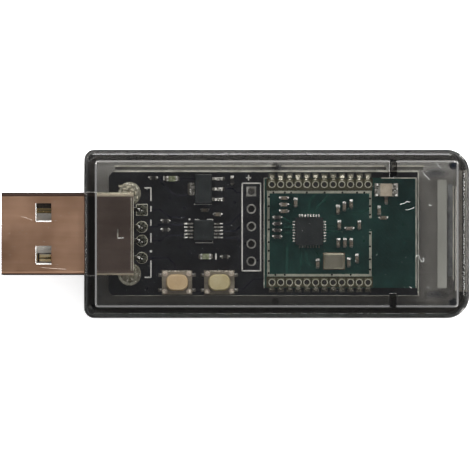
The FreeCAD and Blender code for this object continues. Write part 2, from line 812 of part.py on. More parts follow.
def make_switch(name, along):
    """A push switch: base with rivets, metal cover, spring dome, button and four feet."""
    spot = (f"board_front + {along}", "switch_across", "board_top")
    half = "switch_width / 2 - switch_skirt"
    base = new_body(name + "_base", *spot)
    block(base, "-switch_length / 2", "switch_length / 2", f"-({half})", half, "0",
          "switch_wall_top")
    well = sketch(base, "switch_wall_top")
    oval(well, "flange_reach + button_gap")
    pocket(base, well, "switch_wall_top - switch_floor")
    stems = sketch(base, "switch_wall_top")
    pegs(stems, "peg_radius")
    pad(base, stems, "switch_skirt + peg_height")

    cover = new_body(name + "_cover", *spot)
    block(cover, "-switch_length / 2", "switch_length / 2", "-switch_width / 2",
          "switch_width / 2", "switch_floor", "switch_wall_top + switch_skirt")
    slot(cover, "-switch_length", "switch_length", f"-({half})", half,
         "0", "switch_wall_top")
    opening = sketch(cover, "switch_wall_top + switch_skirt")
    oval(opening, "button_gap")
    pegs(opening, "peg_radius + fit_gap")
    pocket(cover, opening, "switch_skirt")

    dome = new_body(name + "_dome", *spot)
    shell = sketch(dome, "switch_floor")
    few_sided(shell, "0", "0", "dome_radius")
    bind(pad(dome, shell, "dome_height"), "TaperAngle", "-dome_slope")
    hollow = sketch(dome, "switch_floor")
    few_sided(hollow, "0", "0", "dome_radius - dome_thick")
    bind(pocket(dome, hollow, "dome_height - dome_thick", upward=True), "TaperAngle",
         "-dome_slope")

    button = new_body(name + "_button", *spot)
    low = "switch_wall_top - flange_gap - flange_thick"
    flange = sketch(button, low)
    oval(flange, "flange_reach")
    pad(button, flange, "flange_thick")
    stem = sketch(button, f"{low} + flange_thick")
    oval(stem, "0")
    pad(button, stem, f"button_height - ({low}) - flange_thick")
    soften(button, lambda box: at_height(box, "button_height"), "button_edge",
           kind="Chamfer", setting="Size")

    feet = new_body(name + "_feet", *spot)
    for side in ("-", "+"):
        edge = f"{side} switch_length / 2"
        for row in ("-", "+"):
            foot = sketch(feet, f"{row} foot_spacing / 2 - foot_width / 2", "XZ_Plane")
            outline(foot, [
                (edge, "0"), (f"{edge} {side} foot_length", "0"),
                (f"{edge} {side} foot_length", "foot_thick"),
                (f"{edge} {side} foot_thick", "foot_thick"),
                (f"{edge} {side} foot_thick", "foot_rise"), (edge, "foot_rise"),
            ])
            pad(feet, foot, "foot_width")


def make_regulator():
    """A flat power package: drafted body, a tab on one side and three legs on the other."""
    spot = ("board_front + regulator_along", "board_side - regulator_inset", "board_top")
    body = new_body("regulator_body", *spot)
    halves = (("regulator_lead", "regulator_height - regulator_lead"), ("0", "regulator_lead"))
    for low, thick in halves:
        flat = sketch(body, low)
        rectangle(flat, "-regulator_length / 2", "regulator_length / 2",
                  "-regulator_width / 2", "regulator_width / 2")
        step = pad(body, flat, thick)
        if low != "0":
            bind(step, "TaperAngle", "-regulator_draft")

    leads = new_body("regulator_leads", *spot)
    block(leads, "-regulator_length / 2 - regulator_tab_length", "-regulator_length / 2",
          "-regulator_tab_width / 2", "regulator_tab_width / 2", "0", "regulator_lead")
    pin = block(leads, "regulator_length / 2", "regulator_length / 2 + regulator_pin_length",
                "-regulator_pitch - regulator_pin_width / 2",
                "regulator_pin_width / 2 - regulator_pitch", "0", "regulator_lead")
    row_of(leads, [pin], "Y_Axis", "regulator_pitch", "3")


def make_serial_chip():
    """A flat chip with five bent legs on each side."""
    spot = ("board_front + serial_along", "serial_across", "board_top")
    side = "serial_side / 2"
    body = new_body("serial_chip", *spot)
    block(body, f"-{side}", side, f"-{side}", side, "serial_lift", "serial_lift + serial_height")
    soften(body, lambda box: at_height(box, "serial_lift + serial_height"), "serial_bevel",
           kind="Chamfer", setting="Size")

    leads = new_body("serial_chip_leads", *spot)
    legs = []
    for way in ("-", "+"):
        face = f"{way} {side}"
        leg = sketch(leads, "serial_pitch * 2 - serial_lead_width / 2", "XZ_Plane")
        outline(leg, [
            (face, "serial_lead_rise"),
            (f"{face} {way} serial_shoulder", "serial_lead_rise"),
            (f"{face} {way} serial_shoulder", "serial_lead_thick"),
            (f"{face} {way} serial_lead_reach", "serial_lead_thick"),
            (f"{face} {way} serial_lead_reach", "0"),
            (f"{face} {way} (serial_shoulder - serial_lead_thick)", "0"),
            (f"{face} {way} (serial_shoulder - serial_lead_thick)",
             "serial_lead_rise - serial_lead_thick"),
            (face, "serial_lead_rise - serial_lead_thick"),
        ])
        legs.append(pad(leads, leg, "serial_lead_width"))
    row_of(leads, legs, "Y_Axis", "serial_pitch", "5")


def make_radio_board():
    """The radio board, with a row of half holes in each long edge."""
    owner = new_body("radio_board")
    block(owner, "module_front", "module_front + module_length", "module_near", "module_far",
          "board_top", "module_top")
    holes = sketch(owner, "module_top")
    few_sided(holes, "edge_pad_start", "module_far", "edge_hole")
    few_sided(holes, "edge_pad_start", "module_near", "edge_hole")
    row_of(owner, [pocket(owner, holes, "module_thick")], "X_Axis", "edge_pad_pitch",
           "edge_pad_count")


def make_edge_pads():
    """The plated pads behind the half holes."""
    owner = new_body("radio_board_pads")
    half = "edge_pad_width / 2"
    strips = sketch(owner, "module_top")
    rectangle(strips, f"edge_pad_start - {half}", f"edge_pad_start + {half}",
              "module_far - edge_pad_length", "module_far - edge_hole")
    rectangle(strips, f"edge_pad_start - {half}", f"edge_pad_start + {half}",
              "module_near + edge_hole", "module_near + edge_pad_length")
    row_of(owner, [pad(owner, strips, "plating")], "X_Axis", "edge_pad_pitch", "edge_pad_count")


def make_edge_solder():
    """Solder that climbs from the main board to the radio board's edge pads."""
    owner = new_body("radio_board_solder")
    half = "edge_pad_width / 2"
    parts = []
    for face, way in (("module_far", "+"), ("module_near", "-")):
        wedge = sketch(owner, f"edge_pad_start - {half}", "YZ_Plane")
        outline(wedge, [
            (face, "board_top"), (f"{face} {way} edge_solder_reach", "board_top"),
            (f"{face} {way} edge_solder_reach", "board_top + plating"),
            (f"{face} {way} edge_solder_reach / 3", "board_top + module_thick / 2"),
            (face, "module_top"),
        ])
        parts.append(pad(owner, wedge, "edge_pad_width"))
    row_of(owner, parts, "X_Axis", "edge_pad_pitch", "edge_pad_count")


def make_shield_strip():
    """The flat tinned frame that a shielding can would be soldered to."""
    owner = new_body("shield_strip")
    left = "module_front + strip_inset"
    near = "module_near + edge_pad_length + strip_clear"
    far = "module_far - edge_pad_length - strip_far_clear"
    strip = sketch(owner, "module_top")
    rectangle(strip, left, f"{left} + strip_length", near, far)
    rectangle(strip, f"{left} + strip_bar", f"{left} + strip_length - strip_bar",
              f"{near} + strip_bar", f"{far} - strip_bar")
    pad(owner, strip, "strip_thick")
    gap = "module_across + strip_gap_across"
    slot(owner, f"{left} + strip_length - 2 * strip_bar", f"{left} + strip_length + strip_bar",
         f"{gap} - strip_gap / 2", f"{gap} + strip_gap / 2", "module_top - strip_thick",
         "module_top + strip_thick")


def make_radio_chip():
    """The square radio chip and the row of pads that shows along each side."""
    spot = ("module_front + radio_along", "module_across + radio_across", "module_top")
    side = "radio_side / 2"
    body = new_body("radio_chip", *spot)
    block(body, f"-{side}", side, f"-{side}", side, "0", "radio_height")

    pads = new_body("radio_chip_pads", *spot)
    start = "radio_run / 2"
    half = "radio_pad_width / 2"
    columns = [
        block(pads, f"-{start} - {half}", f"{half} - {start}", side,
              f"{side} + radio_pad_length", "0", "radio_pad_thick"),
        block(pads, f"-{start} - {half}", f"{half} - {start}",
              f"-{side} - radio_pad_length", f"-{side}", "0", "radio_pad_thick"),
    ]
    row_of(pads, columns, "X_Axis", "radio_pitch", "radio_pad_count")
    rows = [
        block(pads, side, f"{side} + radio_pad_length", f"-{start} - {half}",
              f"{half} - {start}", "0", "radio_pad_thick"),
        block(pads, f"-{side} - radio_pad_length", f"-{side}", f"-{start} - {half}",
              f"{half} - {start}", "0", "radio_pad_thick"),
    ]
    row_of(pads, rows, "Y_Axis", "radio_pitch", "radio_pad_count")


def make_crystal():
    """The crystal's ceramic tray and the metal can on it."""
    spot = ("module_front + crystal_along", "module_across + crystal_across", "module_top")
    tray = new_body("crystal_base", *spot)
    block(tray, "-crystal_length / 2", "crystal_length / 2", "-crystal_width / 2",
          "crystal_width / 2", "0", "crystal_base")
    can = new_body("crystal_can", *spot)
    lid = sketch(can, "crystal_base")
    rounded(lid, "crystal_rim - crystal_length / 2", "crystal_length / 2 - crystal_rim",
            "crystal_rim - crystal_width / 2", "crystal_width / 2 - crystal_rim",
            "crystal_radius")
    pad(can, lid, "crystal_can")
    soften(can, lambda box: at_height(box, "crystal_base + crystal_can"), "can_bevel",
           kind="Chamfer", setting="Size")


def chip(along, across, turned, up, length, width, height, end, proud):
    """One small two-ended part: its middle and its two plated ends."""
    def piece(start, stop, half, top):
        if turned:
            return brick(f"{along} - {half}", f"{along} + {half}", f"{across} + {start}",
                         f"{across} + {stop}", up, f"{up} + {top}")
        return brick(f"{along} + {start}", f"{along} + {stop}", f"{across} - {half}",
                     f"{across} + {half}", up, f"{up} + {top}")
    middle = piece(f"{end} - {length} / 2", f"{length} / 2 - {end}", f"{width} / 2", height)
    half = f"({width} / 2 + {proud})"
    ends = [
        piece(f"-{length} / 2", f"{end} - {length} / 2", half, f"{height} + {proud}"),
        piece(f"{length} / 2 - {end}", f"{length} / 2", half, f"{height} + {proud}"),
    ]
    return middle, ends


def make_chips(name, spots, front, middle, up):
    """A set of equal small parts, with all middles and all ends as two sub-parts."""
    cores = []
    tips = []
    for along, across, turned in spots:
        core, ends = chip(f"{front} + {along}", f"{middle} + {across}", turned, up,
                          "chip_length", "chip_width", "chip_height", "chip_end",
                          "chip_end_proud")
        cores.append(core)
        tips.extend(ends)
    group(name, cores)
    group(name[:-1] + "_ends", tips)


def make_antenna():
    core, ends = chip("module_front + antenna_along", "module_across + antenna_across", False,
                      "module_top", "antenna_length", "antenna_width", "antenna_height",
                      "antenna_end", "chip_end_proud")
    node(core, "antenna_chip")
    group("antenna_ends", ends)


def make_light(name, along, across):
    """A small light: flat base with plated ends and a clear block of resin on it."""
    core, ends = chip(along, across, False, "board_top", "light_length", "light_width",
                      "light_base", "light_end", "fit_gap")
    node(core, name + "_base")
    group(name + "_ends", ends)
    half = "light_length / 2 - light_end"
    lens = brick(f"{along} - ({half})", f"{along} + ({half})", f"{across} - light_width / 2",
                 f"{across} + light_width / 2", "board_top + light_base",
                 "board_top + light_base + light_lens")
    node(lens, name + "_lens")


make_case_bottom()
make_case_top()
make_main_board()
make_usb_shell()
make_usb_insulator()
for place_in_row, across in enumerate(("-outer_pin", "-inner_pin", "inner_pin", "outer_pin"), 1):
    make_usb_contact(f"usb_contact_{place_in_row}", across)
make_pin_solder()
make_shell_solder()
make_header_rings()
make_switch("left_switch", "switch_along")
make_switch("right_switch", "switch_along + switch_spacing")
make_regulator()
make_serial_chip()
make_radio_board()
make_edge_pads()
make_edge_solder()
make_shield_strip()
make_radio_chip()
make_crystal()
make_antenna()
make_chips("radio_board_capacitors", MODULE_CAPACITORS, "module_front", "module_across",
           "module_top")
make_chips("radio_board_resistors", MODULE_RESISTORS, "module_front", "module_across",
           "module_top")
make_chips("radio_board_inductors", MODULE_INDUCTORS, "module_front", "module_across",
           "module_top")
make_chips("main_board_resistors", BOARD_RESISTORS, "board_front", "0", "board_top")
make_chips("main_board_capacitors", BOARD_CAPACITORS, "board_front", "0", "board_top")
make_light("power_light", "board_front + power_light_along", "board_side - power_light_inset")
make_light("status_light", "board_front + status_light_along", "status_light_across")

document.recompute()
faults = []
for thing in document.Objects:
    if "Invalid" in thing.State or "Error" in thing.State:
        faults.append(f"{thing.Label}: {thing.State}")
for thing in NODES:
    if thing.Shape.isNull() or not thing.Shape.isValid():
        faults.append(f"{thing.Label}: its shape is missing or not valid")
if faults:
    raise RuntimeError("; ".join(faults))

os.makedirs("parts", exist_ok=True)
for thing in NODES:
    thing.Shape.exportStep(os.path.join("parts", thing.Label + ".step"))
    print(thing.Label, len(thing.Shape.Solids), round(thing.Shape.Volume, 4))
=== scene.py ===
import json
import math
import random

import bmesh
import bpy
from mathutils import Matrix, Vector


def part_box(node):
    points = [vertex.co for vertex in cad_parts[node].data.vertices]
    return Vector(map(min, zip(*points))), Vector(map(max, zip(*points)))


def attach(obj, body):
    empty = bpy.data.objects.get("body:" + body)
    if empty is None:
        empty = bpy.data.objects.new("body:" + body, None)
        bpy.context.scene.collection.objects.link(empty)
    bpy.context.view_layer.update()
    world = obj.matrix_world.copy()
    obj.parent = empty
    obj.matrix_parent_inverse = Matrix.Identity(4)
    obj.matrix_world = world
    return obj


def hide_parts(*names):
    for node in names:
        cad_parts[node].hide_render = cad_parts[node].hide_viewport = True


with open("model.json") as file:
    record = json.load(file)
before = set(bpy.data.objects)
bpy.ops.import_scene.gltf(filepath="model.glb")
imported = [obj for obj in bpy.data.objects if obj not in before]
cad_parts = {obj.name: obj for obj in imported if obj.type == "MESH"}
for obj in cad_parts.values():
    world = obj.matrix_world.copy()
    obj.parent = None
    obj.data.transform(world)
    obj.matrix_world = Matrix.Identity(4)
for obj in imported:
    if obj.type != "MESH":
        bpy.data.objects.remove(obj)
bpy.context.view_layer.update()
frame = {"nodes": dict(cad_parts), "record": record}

MM = 0.001
NODES = frame["nodes"]
BOARD_LOW, BOARD_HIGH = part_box("main_board")
MODULE_LOW, MODULE_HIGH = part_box("radio_board")
LID_LOW, LID_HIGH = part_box("case_top")
SHELL_LOW, SHELL_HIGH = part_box("usb_shell")
BOARD_FRONT = BOARD_LOW.x
BOARD_TOP = BOARD_HIGH.z
BOARD_MIDDLE = (BOARD_LOW.y + BOARD_HIGH.y) / 2
MODULE_FRONT = MODULE_LOW.x
MODULE_TOP = MODULE_HIGH.z
MODULE_MIDDLE = (MODULE_LOW.y + MODULE_HIGH.y) / 2
LEDGE_TOP = 2.6 * MM
INK = 0.02 * MM
FILM = 0.012 * MM


# Node trees

def new_material(name):
    """A material with an empty node tree, its output node and a way to add nodes."""
    material = bpy.data.materials.new(name)
    material.use_nodes = True
    tree = material.node_tree
    tree.nodes.clear()
    output = tree.nodes.new("ShaderNodeOutputMaterial")
    return material, tree, output


def add(tree, kind, settings=None, **inputs):
    """One node with its settings, and its inputs given as values or as other sockets."""
    made = tree.nodes.new("ShaderNode" + kind)
    for key, value in (settings or {}).items():
        setattr(made, key, value)
    for key, value in inputs.items():
        socket = made.inputs[int(key[1:])] if key[:1] == "i" and key[1:].isdigit() else (
            made.inputs[key.replace("_", " ")])
        if isinstance(value, bpy.types.NodeSocket):
            tree.links.new(value, socket)
        else:
            socket.default_value = value
    return made


def rgba(colour):
    return (*colour, 1.0)


def speckle(tree, scale, detail=3.0, stretch=(1, 1, 1)):
    """Noise fixed to the object, in lumps per metre."""
    place = add(tree, "TexCoord").outputs["Object"]
    mapped = add(tree, "Mapping", Vector=place, Scale=stretch).outputs[0]
    return add(tree, "TexNoise", Vector=mapped, Scale=scale, Detail=detail,
               Roughness=0.6).outputs["Fac"]


def blend(tree, share, low, high):
    """A colour between two, by the share socket."""
    mixed = add(tree, "Mix", {"data_type": "RGBA"})
    tree.links.new(share, mixed.inputs["Factor"])
    for index, colour in ((6, low), (7, high)):
        if isinstance(colour, bpy.types.NodeSocket):
            tree.links.new(colour, mixed.inputs[index])
        else:
            mixed.inputs[index].default_value = rgba(colour)
    return mixed.outputs[2]


def spread(tree, value, low, high, to_low, to_high):
    """A value stretched from one range to another."""
    return add(tree, "MapRange", Value=value, i1=low, i2=high, i3=to_low, i4=to_high).outputs[0]


def finish_surface(name, low, high, lump, metallic=0.0, rough=(0.3, 0.45), bump=0.0,
                   grain=None, stretch=(1, 1, 1), coat=0.0, specular=0.5):
    """A surface whose colour and roughness drift between two values, with a fine grain."""
    material, tree, output = new_material(name)
    drift = speckle(tree, lump, stretch=stretch)
    share = spread(tree, drift, 0.35, 0.65, 0.0, 1.0)
    shader = add(tree, "BsdfPrincipled", Base_Color=blend(tree, share, low, high),
                 Metallic=metallic, Roughness=spread(tree, drift, 0.3, 0.7, *rough))
    shader.inputs["Coat Weight"].default_value = coat
    shader.inputs["Coat Roughness"].default_value = 0.08
    shader.inputs["Specular IOR Level"].default_value = specular
    if bump:
        fine = speckle(tree, grain or lump * 6, stretch=stretch)
        relief = add(tree, "Bump", Strength=bump, Distance=0.02 * MM, Height=fine)
        tree.links.new(relief.outputs[0], shader.inputs["Normal"])
    tree.links.new(shader.outputs[0], output.inputs["Surface"])
    return material


SMOKE_DENSITY = 500.0
SMOKE_TINT = (0.51, 0.505, 0.495)
SKIN_TINT = (0.79, 0.785, 0.77)
SKIN_SHADOW = (0.85, 0.845, 0.84)


def smoked_plastic():
    """Clear polycarbonate with grey smoke in it, and faint handling marks on its skin."""
    material, tree, output = new_material("smoked_plastic")
    haze = speckle(tree, 260, 4.0, (1, 2.5, 1))
    marks = speckle(tree, 2600, 2.0, (0.15, 1, 1))
    height = add(tree, "Math", {"operation": "MULTIPLY_ADD"}, i0=marks, i1=0.15, i2=haze)
    relief = add(tree, "Bump", Strength=0.06, Distance=0.03 * MM, Height=height.outputs[0])
    clear = add(tree, "BsdfPrincipled", Base_Color=rgba(SKIN_TINT), Roughness=0.02, IOR=1.56,
                Normal=relief.outputs[0])
    clear.inputs["Transmission Weight"].default_value = 1.0
    open_way = add(tree, "BsdfTransparent", Color=rgba(SKIN_SHADOW))
    path = add(tree, "LightPath")
    skin = add(tree, "MixShader", i0=path.outputs["Is Shadow Ray"], i1=clear.outputs[0],
               i2=open_way.outputs[0])
    smoke = add(tree, "VolumeAbsorption", Color=rgba(SMOKE_TINT), Density=SMOKE_DENSITY)
    tree.links.new(skin.outputs[0], output.inputs["Surface"])
    tree.links.new(smoke.outputs[0], output.inputs["Volume"])
    return material


def board_mask(name, low, high, glow):
    """Glossy solder mask over copper: broad drifts of tone and a slight weave underneath."""
    material, tree, output = new_material(name)
    drift = spread(tree, speckle(tree, 180, 2.0), 0.38, 0.62, 0.0, 1.0)
    weave = add(tree, "TexWave", {"wave_type": "BANDS", "bands_direction": "DIAGONAL"},
                Vector=add(tree, "TexCoord").outputs["Object"], Scale=900.0, Distortion=1.5)
    base = blend(tree, drift, low, high)
    toned = blend(tree, spread(tree, weave.outputs["Fac"], 0, 1, 0, 0.12), base, glow)
    relief = add(tree, "Bump", Strength=0.15, Distance=0.01 * MM, Height=weave.outputs["Fac"])
    shader = add(tree, "BsdfPrincipled", Base_Color=toned, Roughness=0.28,
                 Normal=relief.outputs[0])
    tree.links.new(shader.outputs[0], output.inputs["Surface"])
    return material


def plug_steel():
    """Copper-toned plated steel, brushed along the plug, with painted shade inside the case and painted
    light and shade on its bent edges.
    """
    material, tree, output = new_material("plug_steel")
    brush = speckle(tree, 900, 3.0, (0.06, 1, 1))
    cloud = speckle(tree, 120, 3.0)
    share = add(tree, "Math", {"operation": "MULTIPLY_ADD"}, i0=brush, i1=0.5, i2=cloud)
    share = spread(tree, share.outputs[0], 0.5, 1.0, 0.0, 1.0)
    along = add(tree, "SeparateXYZ", Vector=add(tree, "TexCoord").outputs["Object"]).outputs[0]
    # Painted shade: the shell is darker and greyer inside the case, and painted near black under the
    # case's front wall as a painted shadow.
    case_shade_share = spread(tree, along, LID_LOW.x, LID_LOW.x + 0.3 * MM, 0.0, 1.0)
    wall_shadow_share = spread(tree, along, LID_LOW.x + 1.5 * MM, LID_LOW.x + 1.7 * MM, 1.0, 0.0)
    wall_shadow_share = add(tree, "Math", {"operation": "MULTIPLY"}, i0=case_shade_share, i1=wall_shadow_share).outputs[0]
    tone = blend(tree, case_shade_share, blend(tree, share, (0.62, 0.35, 0.215), (0.80, 0.50, 0.335)),
                 blend(tree, share, (0.26, 0.195, 0.165), (0.365, 0.285, 0.255)))
    tone = blend(tree, wall_shadow_share, tone, (0.03, 0.026, 0.022))
    # Painted light and shade on the shell's bent edges: painted dark outside the case and under its wall,
    # and a painted cream highlight inside the case.
    across = add(tree, "SeparateXYZ", Vector=add(tree, "TexCoord").outputs["Object"]).outputs[1]
    bend_light_and_shade = add(tree, "Math", {"operation": "MAXIMUM"},
               i0=spread(tree, across, SHELL_HIGH.y - 0.62 * MM, SHELL_HIGH.y - 0.5 * MM, 0.0, 1.0),
               i1=spread(tree, across, SHELL_LOW.y + 0.22 * MM, SHELL_LOW.y + 0.32 * MM, 1.0, 0.0))
    bend_light_and_shade = bend_light_and_shade.outputs[0]
    bend_highlight_share = spread(tree, along, LID_LOW.x + 1.5 * MM, LID_LOW.x + 1.7 * MM, 0.0, 1.0)
    tone = blend(tree, bend_light_and_shade, tone, blend(tree, bend_highlight_share, (0.07, 0.045, 0.035), (1.0, 0.88, 0.70)))
    relief = add(tree, "Bump", Strength=0.25, Distance=0.01 * MM, Height=brush)
    shader = add(tree, "BsdfPrincipled", Base_Color=tone, Metallic=1.0,
                 Roughness=spread(tree, cloud, 0.3, 0.7, 0.36, 0.48), Normal=relief.outputs[0])
    tree.links.new(shader.outputs[0], output.inputs["Surface"])
    return material


def contact_gold():
    """Gold flash on the blades in the plug; their tinned tails behind it are painted near black as painted
    shade.
    """
    material, tree, output = new_material("contact_gold")
    drift = spread(tree, speckle(tree, 500), 0.35, 0.65, 0.0, 1.0)
    along = add(tree, "SeparateXYZ", Vector=add(tree, "TexCoord").outputs["Object"]).outputs[0]
    # Painted shade: the tails behind the shell are painted near black.
    dark_tail_share = spread(tree, along, SHELL_HIGH.x - 0.5 * MM, SHELL_HIGH.x, 0.0, 1.0)
    tone = blend(tree, dark_tail_share, blend(tree, drift, (0.70, 0.50, 0.20), (0.88, 0.68, 0.34)),
                 blend(tree, drift, (0.06, 0.06, 0.05), (0.12, 0.12, 0.10)))
    shader = add(tree, "BsdfPrincipled", Base_Color=tone, Metallic=1.0,
                 Roughness=spread(tree, drift, 0.0, 1.0, 0.2, 0.34))
    tree.links.new(shader.outputs[0], output.inputs["Surface"])
    return material


MATERIALS = {
    "smoked_plastic": smoked_plastic(),
    "blue_black_board": board_mask("blue_black_board", (0.036, 0.038, 0.047),
                                   (0.059, 0.063, 0.075), (0.08, 0.084, 0.096)),
    "green_board": board_mask("green_board", (0.021, 0.080, 0.076), (0.040, 0.139, 0.124),
                              (0.065, 0.20, 0.16)),
    "copper_toned_steel": plug_steel(),
    "pale_insulator": finish_surface("pale_insulator", (0.55, 0.56, 0.52), (0.68, 0.68, 0.63), 300,
                                     rough=(0.45, 0.6), bump=0.1),
    "gold_contact": contact_gold(),
    "solder": finish_surface("solder", (0.36, 0.345, 0.26), (0.98, 0.95, 0.82), 2200, metallic=0.7,
                             rough=(0.14, 0.30), bump=1.0, grain=2600),
    "tinned_copper": finish_surface("tinned_copper", (0.74, 0.76, 0.64), (0.96, 0.97, 0.84), 900,
                                    metallic=1.0, rough=(0.3, 0.48), bump=0.3, grain=3000),
    "black_plastic": finish_surface("black_plastic", (0.010, 0.0145, 0.0165), (0.022, 0.028, 0.031), 500,
                                    rough=(0.45, 0.6), bump=0.35, grain=9000),
    "switch_resin": finish_surface("switch_resin", (0.56, 0.47, 0.40), (0.74, 0.64, 0.55), 900,
                                   rough=(0.4, 0.55), bump=0.2, grain=6000),
    "switch_metal": finish_surface("switch_metal", (0.26, 0.237, 0.195), (0.42, 0.38, 0.315), 700,
                                   metallic=0.6, rough=(0.34, 0.5), bump=0.2, grain=5000,
                                   stretch=(0.2, 1, 1)),
    "spring_steel": finish_surface("spring_steel", (0.6, 0.6, 0.58), (0.72, 0.72, 0.7), 600,
                                   metallic=1.0, rough=(0.2, 0.3)),
    "tan_button": finish_surface("tan_button", (0.71, 0.52, 0.30), (0.84, 0.65, 0.42), 420,
                                 rough=(0.4, 0.55), bump=0.25, grain=7000),
    "sand_button": finish_surface("sand_button", (0.62, 0.53, 0.30), (0.74, 0.65, 0.41), 420,
                                  rough=(0.4, 0.55), bump=0.25, grain=7000),
    "tinned_leads": finish_surface("tinned_leads", (0.38, 0.375, 0.34), (0.62, 0.61, 0.57), 1800,
                                   metallic=0.7, rough=(0.22, 0.36), bump=0.3, grain=4000),
    "crystal_tray": finish_surface("crystal_tray", (0.14, 0.12, 0.09), (0.2, 0.17, 0.13), 700,
                                   rough=(0.5, 0.6), bump=0.2),
    "crystal_metal": finish_surface("crystal_metal", (0.70, 0.66, 0.53), (0.86, 0.815, 0.68), 500,
                                    metallic=1.0, rough=(0.28, 0.4), bump=0.15, grain=4000,
                                    stretch=(1, 0.25, 1)),
    "antenna_ceramic": finish_surface("antenna_ceramic", (0.48, 0.42, 0.33), (0.60, 0.53, 0.43), 900,
                                      rough=(0.4, 0.55), bump=0.3, grain=6000),
    "capacitor_ceramic": finish_surface("capacitor_ceramic", (0.13, 0.115, 0.09), (0.24, 0.21, 0.17),
                                        1500, rough=(0.35, 0.5), bump=0.2),
    "resistor_ceramic": finish_surface("resistor_ceramic", (0.03, 0.03, 0.03), (0.06, 0.06, 0.06),
                                       1500, rough=(0.35, 0.5), bump=0.2),
    "inductor_ceramic": finish_surface("inductor_ceramic", (0.17, 0.145, 0.125), (0.28, 0.245, 0.215),
                                       1500, rough=(0.35, 0.5), bump=0.2),
    "light_board": finish_surface("light_board", (0.66, 0.68, 0.56), (0.76, 0.78, 0.66), 900,
                                  rough=(0.4, 0.5)),
    "light_resin": finish_surface("light_resin", (0.20, 0.23, 0.14), (0.44, 0.48, 0.34), 2600,
                                  rough=(0.12, 0.2), coat=0.5),
}
RING_PALE = finish_surface("ring_pale", (0.60, 0.59, 0.48), (1.0, 0.98, 0.86), 1500,
                           metallic=0.2, rough=(0.25, 0.4), bump=0.3, grain=3000)
BRIGHT_TIN = finish_surface("bright_tin", (0.84, 0.84, 0.82), (0.99, 0.99, 0.97), 1500,
                            metallic=0.9, rough=(0.2, 0.3), bump=0.1, grain=4000)
PIN_OLIVE = finish_surface("pin_olive", (0.10, 0.105, 0.08), (0.34, 0.35, 0.29), 2600,
                           metallic=0.8, rough=(0.2, 0.35), bump=0.9, grain=2600)
LAND_GREY = finish_surface("land_grey", (0.13, 0.13, 0.11), (0.26, 0.26, 0.23), 1500,
                           metallic=0.7, rough=(0.3, 0.45), bump=0.4, grain=3000)
FOOT_DULL = finish_surface("foot_dull", (0.20, 0.19, 0.17), (0.34, 0.33, 0.30), 1500,
                           metallic=0.8, rough=(0.3, 0.4), bump=0.3)
RING_GREY = finish_surface("ring_grey", (0.30, 0.30, 0.285), (0.60, 0.60, 0.575), 900, metallic=0.5,
                           rough=(0.3, 0.45), bump=0.3, grain=3000)
PAD_OLIVE = finish_surface("pad_olive", (0.12, 0.12, 0.07), (0.25, 0.24, 0.165), 1200, metallic=0.5,
                           rough=(0.35, 0.5), bump=0.4, grain=3000)
INK_WHITE = finish_surface("ink_white", (0.84, 0.84, 0.82), (0.98, 0.98, 0.96), 2200,
                           rough=(0.5, 0.65), bump=0.2)
TRACK_DARK = finish_surface("track_dark", (0.02, 0.021, 0.033), (0.032, 0.033, 0.048), 600,
                            rough=(0.25, 0.32))
TRACK_GREEN = finish_surface("track_green", (0.02, 0.085, 0.066), (0.03, 0.115, 0.09), 600,
                             rough=(0.25, 0.32))
# Painted shade: dark discs for the openings of holes.
HOLE_DARK = finish_surface("hole_dark", (0.006, 0.006, 0.008), (0.012, 0.012, 0.014), 1200,
                           rough=(0.6, 0.7))
# Painted highlight: white strokes for the plug shell's window edges and raised tab.
PAINTED_EDGE_HIGHLIGHT = finish_surface("painted_edge_highlight", (0.50, 0.50, 0.48), (0.80, 0.80, 0.78), 1500,
                           rough=(0.4, 0.5), bump=0.2)
# Bare laminate and a painted highlight of the boards' edges.
LAMINATE_AND_HIGHLIGHT = finish_surface("laminate", (0.46, 0.46, 0.40), (0.86, 0.86, 0.78), 700,
                          rough=(0.5, 0.6), bump=0.2)
# A pale film on top of the ridge inside the case, lighter than the plastic around it.
RIDGE_PALE = finish_surface("ridge_pale", (0.36, 0.365, 0.34), (0.5, 0.505, 0.475), 260, rough=(0.6, 0.75),
                       bump=0.3, grain=5000, stretch=(1, 0.2, 1))
TRENCH = finish_surface("trench", (0.20, 0.215, 0.235), (0.36, 0.375, 0.385), 900, rough=(0.5, 0.6))
# Painted highlight for the moulded edges inside the case.
EDGE_PALE = finish_surface("edge_pale", (0.55, 0.53, 0.45), (0.92, 0.90, 0.80), 500,
                           rough=(0.3, 0.5), bump=0.2)
SPARK = finish_surface("spark_tin", (0.30, 0.30, 0.29), (0.75, 0.75, 0.735), 2600, metallic=1.0,
                       rough=(0.26, 0.36))
SPARK_CREAM = finish_surface("spark_cream", (0.20, 0.19, 0.145), (0.40, 0.38, 0.30), 2600,
                             metallic=1.0, rough=(0.28, 0.38))
WINDOW_DARK = finish_surface("window_dark", (0.03, 0.022, 0.016), (0.09, 0.07, 0.05), 2600,
                             rough=(0.4, 0.5))
# Painted highlight: bright gold for the contact seen in the plug's lower window.
PAINTED_GOLD_HIGHLIGHT = finish_surface("painted_gold_highlight", (0.95, 0.78, 0.40), (1.0, 0.90, 0.58), 1800,
                             metallic=0.0, rough=(0.2, 0.3))
PLUG_SCRATCH = finish_surface("plug_scratch", (0.50, 0.38, 0.30), (0.78, 0.66, 0.57), 4000,
                              metallic=0.5, rough=(0.35, 0.5))
SPARK_PETAL = finish_surface("spark_petal", (0.34, 0.31, 0.26), (0.58, 0.54, 0.47), 4000,
                             metallic=1.0, rough=(0.2, 0.4))
OLIVE_MASK = finish_surface("olive_mask", (0.032, 0.034, 0.018), (0.062, 0.06, 0.036), 600,
                            rough=(0.35, 0.45), bump=0.2, grain=4000)
